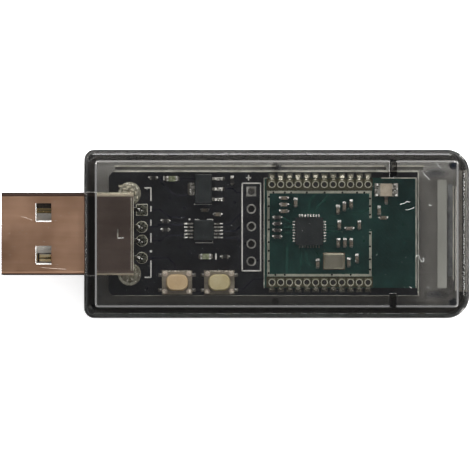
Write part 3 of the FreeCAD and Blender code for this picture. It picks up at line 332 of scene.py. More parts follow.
# Painted highlight: cream lines on the plug shell's rear rim and raised tab.
PAINTED_CREAM_HIGHLIGHT = finish_surface("painted_cream_highlight", (0.72, 0.68, 0.55), (1.0, 0.96, 0.84), 1500, metallic=0.3,
                       rough=(0.28, 0.4), bump=0.2, grain=4000)
END_GREY = finish_surface("end_grey", (0.16, 0.155, 0.14), (0.42, 0.41, 0.38), 2600, metallic=0.7,
                          rough=(0.25, 0.4), bump=0.5, grain=4000)
GAP_SHADE = finish_surface("gap_shade", (0.09, 0.09, 0.085), (0.19, 0.19, 0.175), 700,
                           rough=(0.5, 0.6), stretch=(0.3, 1, 1))
# Painted light: the lit top of the ledge at the case's far end.
PAINTED_LEDGE_LIGHT = finish_surface("painted_ledge_light", (0.60, 0.60, 0.55), (0.78, 0.775, 0.71), 500,
                            rough=(0.6, 0.7), stretch=(1, 0.3, 1))
# Painted sheen: light on the case's end wall, set at the seam between its halves.
PAINTED_SEAM_SHEEN = finish_surface("painted_seam_sheen", (0.80, 0.76, 0.70), (0.98, 0.95, 0.90), 300,
                           rough=(0.6, 0.7), stretch=(1, 0.3, 1))
MARK_PALE = finish_surface("mark_pale", (0.5, 0.52, 0.5), (0.75, 0.77, 0.75), 4000,
                           rough=(0.5, 0.7), bump=0.3)


def soft_patch(name, colour, strength):
    """A dull cloud that is densest in the middle of its piece and fades out to its edge."""
    material, tree, output = new_material(name)
    place = add(tree, "Mapping", Vector=add(tree, "TexCoord").outputs["Generated"],
                Location=(-1, -1, 0), Scale=(2, 2, 0)).outputs[0]
    ball = add(tree, "TexGradient", {"gradient_type": "SPHERICAL"}, Vector=place)
    cloud = spread(tree, speckle(tree, 500, 3.0), 0.3, 0.65, 0.35, 1.0)
    share = add(tree, "Math", {"operation": "MULTIPLY", "use_clamp": True},
                i0=spread(tree, ball.outputs["Fac"], 0.0, 0.8, 0.0, strength), i1=cloud)
    clear = add(tree, "BsdfTransparent")
    dull = add(tree, "BsdfDiffuse", Color=rgba(colour))
    both = add(tree, "MixShader", i0=share.outputs[0], i1=clear.outputs[0], i2=dull.outputs[0])
    tree.links.new(both.outputs[0], output.inputs["Surface"])
    return material


CLOUD_GREY = soft_patch("cloud_grey", (0.08, 0.085, 0.10), 0.5)
CLOUD_BLUE = soft_patch("cloud_blue", (0.035, 0.05, 0.085), 1.0)


# CAD nodes

def soften(name, width, segments=2):
    """Rounds the edges of a carried-over node a little."""
    piece = NODES[name]
    weld = piece.modifiers.new("weld", "WELD")
    weld.merge_threshold = 0.0005 * MM
    bevel = piece.modifiers.new("bevel", "BEVEL")
    bevel.width = width
    bevel.segments = segments
    bevel.limit_method = "ANGLE"
    bevel.angle_limit = math.radians(50)
    bevel.harden_normals = False


def dress_nodes():
    for group in frame["record"]["subparts"]:
        piece = NODES[group["node"]]
        piece.data.materials.clear()
        piece.data.materials.append(MATERIALS[group["material_slot"]])
    for name, material in (("header_rings", RING_GREY), ("radio_board_pads", PAD_OLIVE),
                           ("radio_chip_pads", FOOT_DULL), ("pin_solder", PIN_OLIVE),
                           ("left_switch_feet", FOOT_DULL), ("right_switch_feet", FOOT_DULL)):
        NODES[name].data.materials[0] = material
    for name in NODES:
        if name.startswith(("radio_board_", "main_board_")) and name.endswith("_ends"):
            NODES[name].data.materials[0] = END_GREY
    chips = [name for name in NODES if name.startswith(("radio_board_", "main_board_"))
             and name.endswith(("capacitors", "resistors", "inductors", "_ends"))]
    for name in chips:
        soften(name, 0.035 * MM)
    for name in ("radio_chip", "serial_chip", "crystal_base", "antenna_chip", "antenna_ends",
                 "radio_chip_pads", "regulator_leads", "power_light_ends", "power_light_lens",
                 "status_light_ends", "status_light_lens"):
        soften(name, 0.04 * MM)
    for name in ("regulator_body", "crystal_can"):
        soften(name, 0.06 * MM, 3)
    soften("usb_shell", 0.06 * MM)
    for name in ("case_bottom", "case_top"):
        soften(name, 0.14 * MM, 3)
    for side in ("left", "right"):
        soften(side + "_switch_cover", 0.04 * MM)
        soften(side + "_switch_base", 0.05 * MM)
        soften(side + "_switch_button", 0.09 * MM, 4)
        soften(side + "_switch_feet", 0.03 * MM)


dress_nodes()


# Meshes

def piece_from(mesh, name, material, smooth=False, body="stick"):
    """Turns a bmesh into a piece that rides on a body."""
    data = bpy.data.meshes.new(name)
    bmesh.ops.recalc_face_normals(mesh, faces=mesh.faces)
    mesh.to_mesh(data)
    mesh.free()
    piece = bpy.data.objects.new(name, data)
    bpy.context.scene.collection.objects.link(piece)
    data.materials.append(material)
    for face in data.polygons:
        face.use_smooth = smooth
    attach(piece, body)
    return piece


def slab(mesh, outline, low, high):
    """A closed flat piece with the outline, between two heights."""
    under = [mesh.verts.new((x, y, low)) for x, y in outline]
    over = [mesh.verts.new((x, y, high)) for x, y in outline]
    mesh.faces.new(list(reversed(under)))
    mesh.faces.new(over)
    count = len(outline)
    for index in range(count):
        after = (index + 1) % count
        mesh.faces.new((under[index], under[after], over[after], over[index]))


def stroke(mesh, start, end, width, low, high):
    """A straight line of ink or copper with round ends."""
    start, end = Vector(start), Vector(end)
    way = (end - start).normalized() if (end - start).length else Vector((1, 0))
    turn = math.atan2(way.y, way.x)
    steps = 5
    outline = []
    for middle, first in ((end, -math.pi / 2), (start, math.pi / 2)):
        for step in range(steps + 1):
            angle = turn + first + math.pi * step / steps
            outline.append((middle.x + width / 2 * math.cos(angle),
                            middle.y + width / 2 * math.sin(angle)))
    slab(mesh, outline, low, high)


def path_of(mesh, points, width, low, high):
    """A line through several points."""
    for start, end in zip(points, points[1:]):
        stroke(mesh, start, end, width, low, high)


def ring(mesh, middle, outer, inner, low, high, sides=28):
    """A flat ring."""
    loops = []
    for radius, height in ((outer, low), (outer, high), (inner, high), (inner, low)):
        loops.append([mesh.verts.new((middle[0] + radius * math.cos(2 * math.pi * k / sides),
                                      middle[1] + radius * math.sin(2 * math.pi * k / sides),
                                      height)) for k in range(sides)])
    for index in range(4):
        one, two = loops[index], loops[(index + 1) % 4]
        for k in range(sides):
            after = (k + 1) % sides
            mesh.faces.new((one[k], one[after], two[after], two[k]))


def disc(mesh, middle, radius, low, high, sides=20):
    """A flat round spot."""
    slab(mesh, [(middle[0] + radius * math.cos(2 * math.pi * k / sides),
                 middle[1] + radius * math.sin(2 * math.pi * k / sides))
                for k in range(sides)], low, high)


def on_board(along, across):
    """A place on the main board, in mm from its front edge and its middle line."""
    return (BOARD_FRONT + along * MM, BOARD_MIDDLE + across * MM)


def on_module(along, across):
    """The same on the radio board."""
    return (MODULE_FRONT + along * MM, MODULE_MIDDLE + across * MM)


def loose_parts(name):
    """Lowest and highest corners of each separate solid of a node."""
    mesh = NODES[name].data
    spots = {}
    number = []
    for vertex in mesh.vertices:
        key = tuple(round(value * 1e7) for value in vertex.co)
        number.append(spots.setdefault(key, len(spots)))
    leader = list(range(len(spots)))

    def find(item):
        while leader[item] != item:
            leader[item] = leader[leader[item]]
            item = leader[item]
        return item

    for face in mesh.polygons:
        first = find(number[face.vertices[0]])
        for corner in face.vertices[1:]:
            leader[find(number[corner])] = first
    boxes = {}
    for vertex, spot in zip(mesh.vertices, number):
        low, high = boxes.setdefault(find(spot), (vertex.co.copy(), vertex.co.copy()))
        for axis in range(3):
            low[axis] = min(low[axis], vertex.co[axis])
            high[axis] = max(high[axis], vertex.co[axis])
    return list(boxes.values())


# Printed lines

def main_board_print():
    """The plain outlines that are printed on the main board."""
    mesh = bmesh.new()
    low, high = BOARD_TOP, BOARD_TOP + INK
    fine, bold = 0.12 * MM, 0.17 * MM

    def line(points, width=fine):
        path_of(mesh, [on_board(*spot) for spot in points], width, low, high)

    # bracket beside the plug's pins
    line([(5.25, 6.68), (6.12, 6.68), (6.12, 4.84)], bold)
    for top, bottom in ((3.98, 3.28), (2.0, 1.26), (0.03, -1.2)):
        line([(6.12, top), (6.12, bottom)], bold)
    disc(mesh, on_board(6.12, -2.54), 0.17 * MM, low, high)
    line([(5.25, -6.32), (6.12, -6.32), (6.12, -3.95)], bold)
    # frame of the header holes and its sign
    line([(19.38, 7.36), (22.06, 7.36), (22.06, -5.36), (19.38, -5.36), (19.38, 7.36)], bold)
    line([(20.0, 8.15), (20.62, 8.15)], bold)
    line([(20.31, 8.46), (20.31, 7.84)], bold)
    # outlines of the serial chip and the regulator
    line([(12.55, 2.1), (13.1, 2.1)])
    line([(14.3, 2.1), (15.1, 2.1), (15.1, 1.8)])
    disc(mesh, on_board(11.73, 2.1), 0.14 * MM, low, high)
    line([(12.6, -1.3), (15.1, -1.3), (15.1, -1.0)])
    line([(12.4, 4.3), (14.95, 4.3)])
    # tick beside the status light
    line([(15.58, -2.95), (15.58, -3.67)], 0.2 * MM)
    line([(8.0, 7.8), (8.0, 8.4)])
    return piece_from(mesh, "main_board_print", INK_WHITE)


def main_board_tracks():
    """Copper tracks and small plated holes that show faintly through the mask."""
    mesh = bmesh.new()
    low, high = BOARD_TOP, BOARD_TOP + FILM
    routes = [
        [(5.5, 3.5), (7.4, 3.5), (8.9, 2.4), (11.2, 2.4)],
        [(5.5, 1.0), (7.0, 1.0), (7.3, 1.3), (11.3, 1.3)],
        [(5.5, -1.0), (7.6, -1.0), (8.4, -0.2), (11.3, -0.2)],
        [(5.5, -3.5), (8.6, -3.5), (9.6, -4.5), (9.6, -5.2)],
        [(16.4, 1.4), (17.6, 1.4), (18.6, 2.4), (20.1, 3.6)],
        [(16.4, 0.4), (18.4, 0.4), (19.0, 1.0), (20.1, 1.0)],
        [(16.4, -0.6), (18.6, -0.6), (19.4, -1.4), (20.1, -1.4)],
        [(16.3, 6.6), (18.0, 6.6), (18.6, 6.0), (20.1, 6.0)],
        [(12.0, 5.6), (9.6, 5.6), (7.6, 7.4), (7.6, 8.1)],
        [(10.2, 8.0), (12.8, 8.0), (13.4, 7.4), (13.4, 6.8)],
        [(16.0, -8.0), (19.6, -8.0), (21.0, -6.6), (22.7, -6.6)],
        [(9.6, -8.4), (13.6, -8.4), (14.2, -7.8), (14.2, -6.4)],
        [(21.4, -3.9), (22.6, -3.9)],
        [(21.4, 1.1), (22.6, 1.1)],
    ]
    for route in routes:
        path_of(mesh, [on_board(*spot) for spot in route], 0.22 * MM, low, high)
    tracks = piece_from(mesh, "main_board_tracks", TRACK_DARK)
    rings = bmesh.new()
    for spot in ((8.9, 5.2), (10.4, -1.9), (17.9, -1.9), (18.3, 4.6), (11.6, -2.9), (18.4, -4.6),
                 (7.3, -5.1), (8.2, -6.9), (5.5, -7.9), (3.0, 7.9), (16.9, 5.2), (11.0, 3.7)):
        ring(rings, on_board(*spot), 0.2 * MM, 0.1 * MM, low, high + FILM, 16)
    piece_from(rings, "main_board_vias", TRACK_DARK)
    return tracks


def module_details():
    """Rings of the radio board's edge pads, the dark dots in its strip, and its tracks."""
    low, high = MODULE_TOP, MODULE_TOP + 0.07 * MM
    rings = bmesh.new()
    # Painted shade: dark discs stand for the openings of the pad holes and of the strip's vias.
    holes = bmesh.new()
    inset_far, inset_near = 0.97 * MM, 0.80 * MM
    for box_low, box_high in loose_parts("radio_board_pads"):
        x = (box_low.x + box_high.x) / 2
        far = (box_low.y + box_high.y) / 2 > MODULE_MIDDLE
        y = MODULE_HIGH.y - inset_far if far else MODULE_LOW.y + inset_near
        ring(rings, (x, y), 0.5 * MM, 0.42 * MM, low, high)
        disc(holes, (x, y), 0.34 * MM, low, high - 0.015 * MM)
    strip_low, strip_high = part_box("shield_strip")
    middle = 0.23 * MM
    top = strip_high.z
    length = strip_high.x - strip_low.x
    width = strip_high.y - strip_low.y
    for share in (0.06, 0.17, 0.23, 0.38, 0.55, 0.72, 0.86, 0.93):
        disc(holes, (strip_low.x + length * share, strip_high.y - middle), 0.15 * MM, top - INK,
             top + FILM, 12)
    for share in (0.08, 0.17, 0.62, 0.8):
        disc(holes, (strip_low.x + length * share, strip_low.y + middle), 0.15 * MM, top - INK,
             top + FILM, 12)
    for share in (0.04, 0.18, 0.3, 0.4, 0.55, 0.66, 0.82, 0.93):
        disc(holes, (strip_low.x + middle, strip_low.y + width * share), 0.15 * MM, top - INK,
             top + FILM, 12)
    for share in (0.72, 0.82, 0.91, 0.5, 0.35, 0.2, 0.08):
        disc(holes, (strip_high.x - middle, strip_low.y + width * share), 0.15 * MM, top - INK,
             top + FILM, 12)
    zones = bmesh.new()
    for near, far in ((strip_high.y + 0.03 * MM, MODULE_HIGH.y - 0.06 * MM),
                      (MODULE_LOW.y + 0.06 * MM, strip_low.y - 0.03 * MM)):
        slab(zones, [(strip_low.x - 0.1 * MM, near), (strip_high.x + 0.15 * MM, near),
                     (strip_high.x + 0.15 * MM, far), (strip_low.x - 0.1 * MM, far)],
             MODULE_TOP, MODULE_TOP + FILM)
    piece_from(zones, "radio_board_zones", OLIVE_MASK)
    piece_from(rings, "radio_board_rings", RING_PALE)
    piece_from(holes, "radio_board_holes", HOLE_DARK)
    tracks = bmesh.new()
    routes = [
        [(4.4, 1.6), (3.6, 1.6), (2.9, 2.3)], [(4.4, 0.8), (3.0, 0.8)], [(4.4, 0.0), (3.0, 0.0)],
        [(4.4, -0.8), (3.4, -1.8), (3.4, -6.2)], [(5.4, -2.1), (5.4, -5.0), (4.6, -5.8)],
        [(6.2, -2.1), (6.2, -4.0), (7.4, -5.2)], [(7.4, -2.2), (8.0, -3.4), (9.0, -3.8)],
        [(8.9, 1.0), (10.2, 1.0), (10.8, 0.6)], [(8.9, 0.2), (11.6, 0.2)],
        [(6.6, 2.6), (6.6, 4.6), (8.0, 6.0)], [(7.4, 2.6), (7.4, 3.4), (9.4, 5.4)],
        [(12.9, 2.9), (14.4, 2.9), (15.6, 3.6), (17.8, 3.6)],
    ]
    for route in routes:
        path_of(tracks, [on_module(*spot) for spot in route], 0.16 * MM, MODULE_TOP,
                MODULE_TOP + FILM)
    for spot in ((9.2, -5.4), (14.6, -1.2), (8.9, 4.5), (14.3, 5.3), (1.9, -3.6), (16.4, -3.0),
                 (10.1, 2.2), (3.9, -4.9), (19.8, -5.0), (20.3, 1.2)):
        ring(tracks, on_module(*spot), 0.16 * MM, 0.08 * MM, MODULE_TOP, MODULE_TOP + 2 * FILM, 16)
    piece_from(tracks, "radio_board_tracks", TRACK_GREEN)


def toe(mesh, face, way, width, reach, height, low):
    """A hollow-cheeked heap of solder that climbs from the board to a part's end face."""
    steps = 5
    across = Vector((-way.y, way.x))
    rows = []
    for step in range(steps + 1):
        share = step / steps
        out = way * reach * share
        up = height * (1 - share) ** 1.8 + 0.03 * MM
        half = width / 2 * (1 - 0.25 * share * share)
        rows.append([mesh.verts.new((face.x + out.x + across.x * half * side,
                                     face.y + out.y + across.y * half * side,
                                     low + up * lift))
                     for side, lift in ((-1, 0), (-0.72, 0.85), (0, 1), (0.72, 0.85), (1, 0))])
    for one, two in zip(rows, rows[1:]):
        for k in range(4):
            mesh.faces.new((one[k], one[k + 1], two[k + 1], two[k]))
        mesh.faces.new((one[4], one[0], two[0], two[4]))
    mesh.faces.new(rows[0])
    mesh.faces.new(list(reversed(rows[-1])))


def heap(mesh, middle, half_x, half_y, low, high, rings_of=4, sides=14):
    """A smooth low dome of solder on an oval foot."""
    loops = []
    for step in range(rings_of):
        turn = math.pi / 2 * step / rings_of
        loops.append([mesh.verts.new((
            middle[0] + half_x * math.cos(turn) * math.cos(2 * math.pi * k / sides),
            middle[1] + half_y * math.cos(turn) * math.sin(2 * math.pi * k / sides),
            low + (high - low) * math.sin(turn))) for k in range(sides)])
    top = mesh.verts.new((middle[0], middle[1], high))
    for one, two in zip(loops, loops[1:]):
        for k in range(sides):
            after = (k + 1) % sides
            mesh.faces.new((one[k], one[after], two[after], two[k]))
    for k in range(sides):
        mesh.faces.new((loops[-1][k], loops[-1][(k + 1) % sides], top))
    mesh.faces.new(list(reversed(loops[0])))


FACET_SLOPE = 0.54


def spark(mesh, x, y, wide, deep, base, slope=FACET_SLOPE):
    """A small facet of solder that slopes down to the far side, and so mirrors the window."""
    left, right = (x - wide / 2) * MM, (x + wide / 2) * MM
    near, far = (y - deep / 2) * MM, (y + deep / 2) * MM
    rise = (far - near) * slope
    corners = [[mesh.verts.new((px, py, pz)) for px, py, pz in row] for row in (
        ((left, near, base - INK), (right, near, base - INK), (right, far, base - INK),
         (left, far, base - INK)),
        ((left, near, base + rise), (right, near, base + rise), (right, far, base + FILM),
         (left, far, base + FILM)))]
    under, over = corners
    mesh.faces.new(list(reversed(under)))
    mesh.faces.new(over)
    for k in range(4):
        after = (k + 1) % 4
        mesh.faces.new((under[k], under[after], over[after], over[k]))


def sparks():
    """Solder facets that catch the light at the ends of the parts and along the chips' legs."""
    mesh = bmesh.new()
    random.seed(11)
    for board, level in (("radio_board", MODULE_TOP), ("main_board", BOARD_TOP)):
        strength = 1.0 if board == "radio_board" else 0.8
        for kind in ("capacitor", "resistor", "inductor"):
            if f"{board}_{kind}s" not in NODES:
                continue
            centres = [(low + high) / 2 for low, high in loose_parts(f"{board}_{kind}s")]
            for low, high in loose_parts(f"{board}_{kind}_ends"):
                centre = (low + high) / 2
                core = min(centres, key=lambda spot: (spot - centre).length)
                turned = abs(centre.y - core.y) > abs(centre.x - core.x)
                x, y = centre.x / MM, centre.y / MM
                slope = random.uniform(0.46, 0.62)
                if turned and centre.y > core.y:
                    spark(mesh, x, high.y / MM + 0.13, random.uniform(0.44, 0.58),
                          random.uniform(0.26, 0.34), level + 0.1 * MM, slope)
                elif turned:
                    spark(mesh, x + random.uniform(-0.06, 0.06), low.y / MM - 0.06,
                          random.uniform(0.26, 0.42), random.uniform(0.14, 0.2),
                          level + 0.1 * MM, slope)
                else:
                    out = 1 if centre.x > core.x else -1
                    edge = (high.x if out > 0 else low.x) / MM
                    spark(mesh, edge + out * 0.08, y + random.uniform(0.04, 0.12),
                          random.uniform(0.2, 0.28), random.uniform(0.18, 0.28) * strength,
                          level + 0.1 * MM, slope)
    chip_low, chip_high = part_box("radio_chip")
    for low, high in loose_parts("radio_chip_pads"):
        middle = (low + high) / 2
        x, y = middle.x / MM, middle.y / MM
        if low.y > chip_high.y - 0.05 * MM or (high.y > chip_high.y and high.x - low.x < 0.3 * MM):
            spark(mesh, x, 2.68, 0.17, 0.36, MODULE_TOP + 0.1 * MM, random.uniform(0.5, 0.58))
        elif x > chip_high.x / MM - 0.1:
            spark(mesh, high.x / MM - 0.14, y, random.uniform(0.3, 0.42), 0.14,
                  MODULE_TOP + 0.13 * MM, random.uniform(0.48, 0.6))
        elif x < chip_low.x / MM + 0.1:
            spark(mesh, low.x / MM + 0.14, y, random.uniform(0.26, 0.36), 0.12,
                  MODULE_TOP + 0.13 * MM, random.uniform(0.46, 0.58))
        else:
            spark(mesh, x, low.y / MM + 0.18, 0.13, 0.24, MODULE_TOP + 0.13 * MM,
                  random.uniform(0.40, 0.48))
    serial_low, serial_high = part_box("serial_chip")
    for low, high in loose_parts("serial_chip_leads"):
        y = (low.y + high.y) / 2 / MM
        out = 1 if low.x > (serial_low.x + serial_high.x) / 2 else -1
        tip = (high.x if out > 0 else low.x) / MM
        root = (serial_high.x if out > 0 else serial_low.x) / MM
        spark(mesh, tip - out * 0.2, y, 0.42, 0.15, BOARD_TOP + 0.16 * MM,
              random.uniform(0.44, 0.56))
        spark(mesh, root + out * 0.22, y, 0.3, 0.13, low.z + 0.46 * MM, random.uniform(0.40, 0.5))
    for low, high in loose_parts("regulator_leads"):
        y = (low.y + high.y) / 2 / MM
        tab = (high.y - low.y) > 1.0 * MM
        if tab:
            spark(mesh, low.x / MM + 0.1, y - 0.2, 0.16, 0.5, high.z, 0.42)
            continue
        tip, top = high.x / MM, high.z
        spark(mesh, tip - 0.25, y + 0.12, 0.62, 0.16, top, random.uniform(0.48, 0.56))
        spark(mesh, tip - 0.08, y - 0.12, 0.16, 0.3, top, 0.5)
        spark(mesh, tip - 0.95, y - 0.02, 0.22, 0.3, top, random.uniform(0.42, 0.5))
        spark(mesh, tip - 0.6, y - 0.16, 0.14, 0.16, top, 0.5)
    for name in ("power_light", "status_light"):
        for low, high in loose_parts(name + "_ends"):
            x, y = (low.x + high.x) / 2 / MM, (low.y + high.y) / 2 / MM
            spark(mesh, x, y + 0.22, 0.2, 0.22, high.z, random.uniform(0.46, 0.56))
            spark(mesh, x, y - 0.24, 0.22, 0.16, high.z, random.uniform(0.46, 0.56))
    for side in ("left", "right"):
        for low, high in loose_parts(side + "_switch_feet"):
            spark(mesh, (low.x + high.x) / 2 / MM, (low.y + high.y) / 2 / MM + 0.1, 0.22, 0.14,
                  high.z, random.uniform(0.36, 0.46))
    petals = bmesh.new()
    for side in ("left", "right"):
        low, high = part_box(side + "_switch_cover")
        x, wide = (low.x + high.x) / 2 / MM, (high.x - low.x) / MM
        spark(petals, x, high.y / MM - 0.09, wide - 0.3, 0.12, high.z, 0.44)
        for sx in (-1, 1):
            for sy in (-1, 1):
                for _ in range(2 if side == "left" and sy > 0 else 4):
                    spark(petals, x + sx * (wide / 2 - 0.42 + random.uniform(-0.17, 0.17)),
                          (low.y + high.y) / 2 / MM + sy * ((high.y - low.y) / 2 / MM - 0.42)
                          + random.uniform(-0.17, 0.17), random.uniform(0.16, 0.32),
                          random.uniform(0.12, 0.2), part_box(side + "_switch_base")[1].z,
                          random.uniform(0.44, 0.58))
    piece_from(petals, "switch_sparks", SPARK_PETAL)
    low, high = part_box("antenna_ends")
    top = high.z
    right, left, far, near = high.x / MM, low.x / MM, high.y / MM, low.y / MM
    for x, y, wide, deep in ((right - 0.35, far - 0.18, 0.5, 0.2), (right - 0.14, far - 0.7, 0.18, 0.55),
                             (right - 0.45, far - 1.05, 0.26, 0.22), (right - 0.22, near + 0.2, 0.3, 0.26),
                             (right - 0.6, near + 0.5, 0.14, 0.16), (left + 0.42, far - 0.22, 0.24, 0.24),
                             (left + 0.3, near + 0.24, 0.34, 0.2), (left + 0.12, far - 0.9, 0.12, 0.2)):
        spark(mesh, x, y, wide, deep, top, random.uniform(0.46, 0.58))
    for index in range(1, 5):
        low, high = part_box(f"usb_contact_{index}")
        x, y, top = high.x / MM, (low.y + high.y) / 2 / MM, high.z
        spark(mesh, x - 0.55, y + 0.15, 0.34, 0.13, top, random.uniform(0.46, 0.58))
        spark(mesh, x - 0.5, y - 0.08, 0.12, 0.26, top, random.uniform(0.46, 0.58))
        spark(mesh, x - 0.13, y - 0.16, 0.18, 0.14, top, random.uniform(0.46, 0.58))
        spark(mesh, SHELL_HIGH.x / MM + 0.25, y + 0.3, 0.26, 0.1, BOARD_TOP + 0.2 * MM, 0.5)
    spark(mesh, SHELL_HIGH.x / MM - 1.88, -0.62, 0.74, 0.14, SHELL_HIGH.z, 0.5)
    piece_from(mesh, "sparks", SPARK)
    rim = bmesh.new()
    low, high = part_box("crystal_can")
    middle, wide = (low.x + high.x) / 2 / MM, (high.x - low.x) / MM - 0.24
    spark(rim, middle, high.y / MM - 0.12, wide, 0.26, high.z - 0.13 * MM, 0.5)
    far, rear = SHELL_HIGH.y / MM, SHELL_HIGH.x / MM
    front = LID_LOW.x / MM + 1.75
    spark(rim, (front + rear) / 2, far - 0.08, rear - front, 0.19, SHELL_HIGH.z - 0.33 * MM)
    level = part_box("shell_solder")[1].z
    for x, y, wide, deep in ((-16.7, 6.95, 0.55, 0.32), (-16.1, 7.1, 0.5, 0.28), (-15.5, 6.85, 0.6, 0.3),
                             (-16.0, 6.55, 0.7, 0.24), (-15.05, 6.45, 0.4, 0.3), (-14.5, 5.95, 0.2, 0.5),
                             (-14.25, 5.3, 0.16, 0.4), (-14.5, -5.2, 0.16, 0.3),
                             (-14.35, -5.9, 0.3, 0.24), (-15.2, -6.75, 0.4, 0.14)):
        spark(rim, x, y, wide, deep, level, random.uniform(0.34, 0.62))
    piece_from(rim, "cream_rims", SPARK_CREAM)


def solder_toes():
    """Solder beyond both ends of every small part, and beyond the regulator's legs."""
    mesh = bmesh.new()
    random.seed(3)
    for board, level in (("radio_board", MODULE_TOP), ("main_board", BOARD_TOP)):
        for kind in ("capacitor", "resistor", "inductor"):
            middles = f"{board}_{kind}s"
            if middles not in NODES:
                continue
            centres = [(low + high) / 2 for low, high in loose_parts(middles)]
            for low, high in loose_parts(f"{board}_{kind}_ends"):
                centre = (low + high) / 2
                core = min(centres, key=lambda spot: (spot - centre).length)
                turned = abs(centre.y - core.y) > abs(centre.x - core.x)
                way = Vector((0, 1 if centre.y > core.y else -1)) if turned else (
                    Vector((1 if centre.x > core.x else -1, 0)))
                reach = (high.y - low.y if turned else high.x - low.x) / 2
                foot = Vector((centre.x, centre.y)) + way * (reach - 0.02 * MM)
                long, wide = random.uniform(0.13, 0.18) * MM, random.uniform(0.18, 0.24) * MM
                heap(mesh, foot, wide if turned else long, long if turned else wide, level,
                     level + random.uniform(0.14, 0.2) * MM)
    for low, high in loose_parts("regulator_leads"):
        tab = (high.y - low.y) > 1.0 * MM
        way = Vector((-1, 0)) if tab else Vector((1, 0))
        face = Vector((low.x if tab else high.x, (low.y + high.y) / 2))
        toe(mesh, face, way, high.y - low.y + 0.15 * MM, 0.3 * MM, 0.33 * MM, BOARD_TOP)
    for side in ("left", "right"):
        base_low, base_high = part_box(side + "_switch_base")
        centre = (base_low + base_high) / 2
        for low, high in loose_parts(side + "_switch_feet"):
            way = Vector((1 if low.x > centre.x else -1, 0))
            face = Vector((high.x if way.x > 0 else low.x, (low.y + high.y) / 2))
            toe(mesh, face, way, 0.6 * MM, 0.16 * MM, 0.12 * MM, BOARD_TOP)
    for name in ("power_light", "status_light"):
        for low, high in loose_parts(name + "_ends"):
            base_low, base_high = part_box(name + "_base")
            way = Vector((1 if low.x > (base_low.x + base_high.x) / 2 else -1, 0))
            face = Vector((high.x if way.x > 0 else low.x, (low.y + high.y) / 2))
            toe(mesh, face, way, 0.7 * MM, 0.26 * MM, 0.18 * MM, BOARD_TOP)
    return piece_from(mesh, "solder_toes", FOOT_DULL, smooth=True)


def edge_joints():
    """The radio board's joints: flat lands on the main board, and heaps in the half holes."""
    lands = bmesh.new()
    heaps = bmesh.new()
    random.seed(5)
    for low, high in loose_parts("radio_board_solder"):
        far = low.y > MODULE_MIDDLE
        slab(lands, [(low.x, low.y), (high.x, low.y), (high.x, high.y), (low.x, high.y)],
             BOARD_TOP, BOARD_TOP + 3 * INK)
        x = (low.x + high.x) / 2 + random.uniform(-0.05, 0.05) * MM
        edge, lean = (MODULE_HIGH.y, 1) if far else (MODULE_LOW.y, -1)
        crest = MODULE_TOP + random.uniform(0.09, 0.16) * MM
        half = random.uniform(0.31, 0.39) * MM
        rows = []
        for out, drop in ((-0.40, 0.12), (-0.33, 0.0), (-0.05, 0.15), (0.20, 0.29), (0.30, 0.5),
                          (0.42, 0.9)):
            drop = (drop + random.uniform(-0.02, 0.02)) * MM
            level = max(crest - drop, BOARD_TOP + INK)
            rows.append([heaps.verts.new((x + half * side, edge + lean * out * MM,
                                          BOARD_TOP + (level - BOARD_TOP) * lift))
                         for side, lift in ((-1, 0.2), (-0.8, 0.93), (0, 1), (0.8, 0.93), (1, 0.2))])
        for one, two in zip(rows, rows[1:]):
            for k in range(4):
                heaps.faces.new((one[k], one[k + 1], two[k + 1], two[k]))
            heaps.faces.new((one[4], one[0], two[0], two[4]))
        heaps.faces.new(rows[0])
        heaps.faces.new(list(reversed(rows[-1])))
    flat = piece_from(lands, "edge_lands", LAND_GREY)
    piece_from(heaps, "edge_heaps", MATERIALS["solder"])
    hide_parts("radio_board_solder")


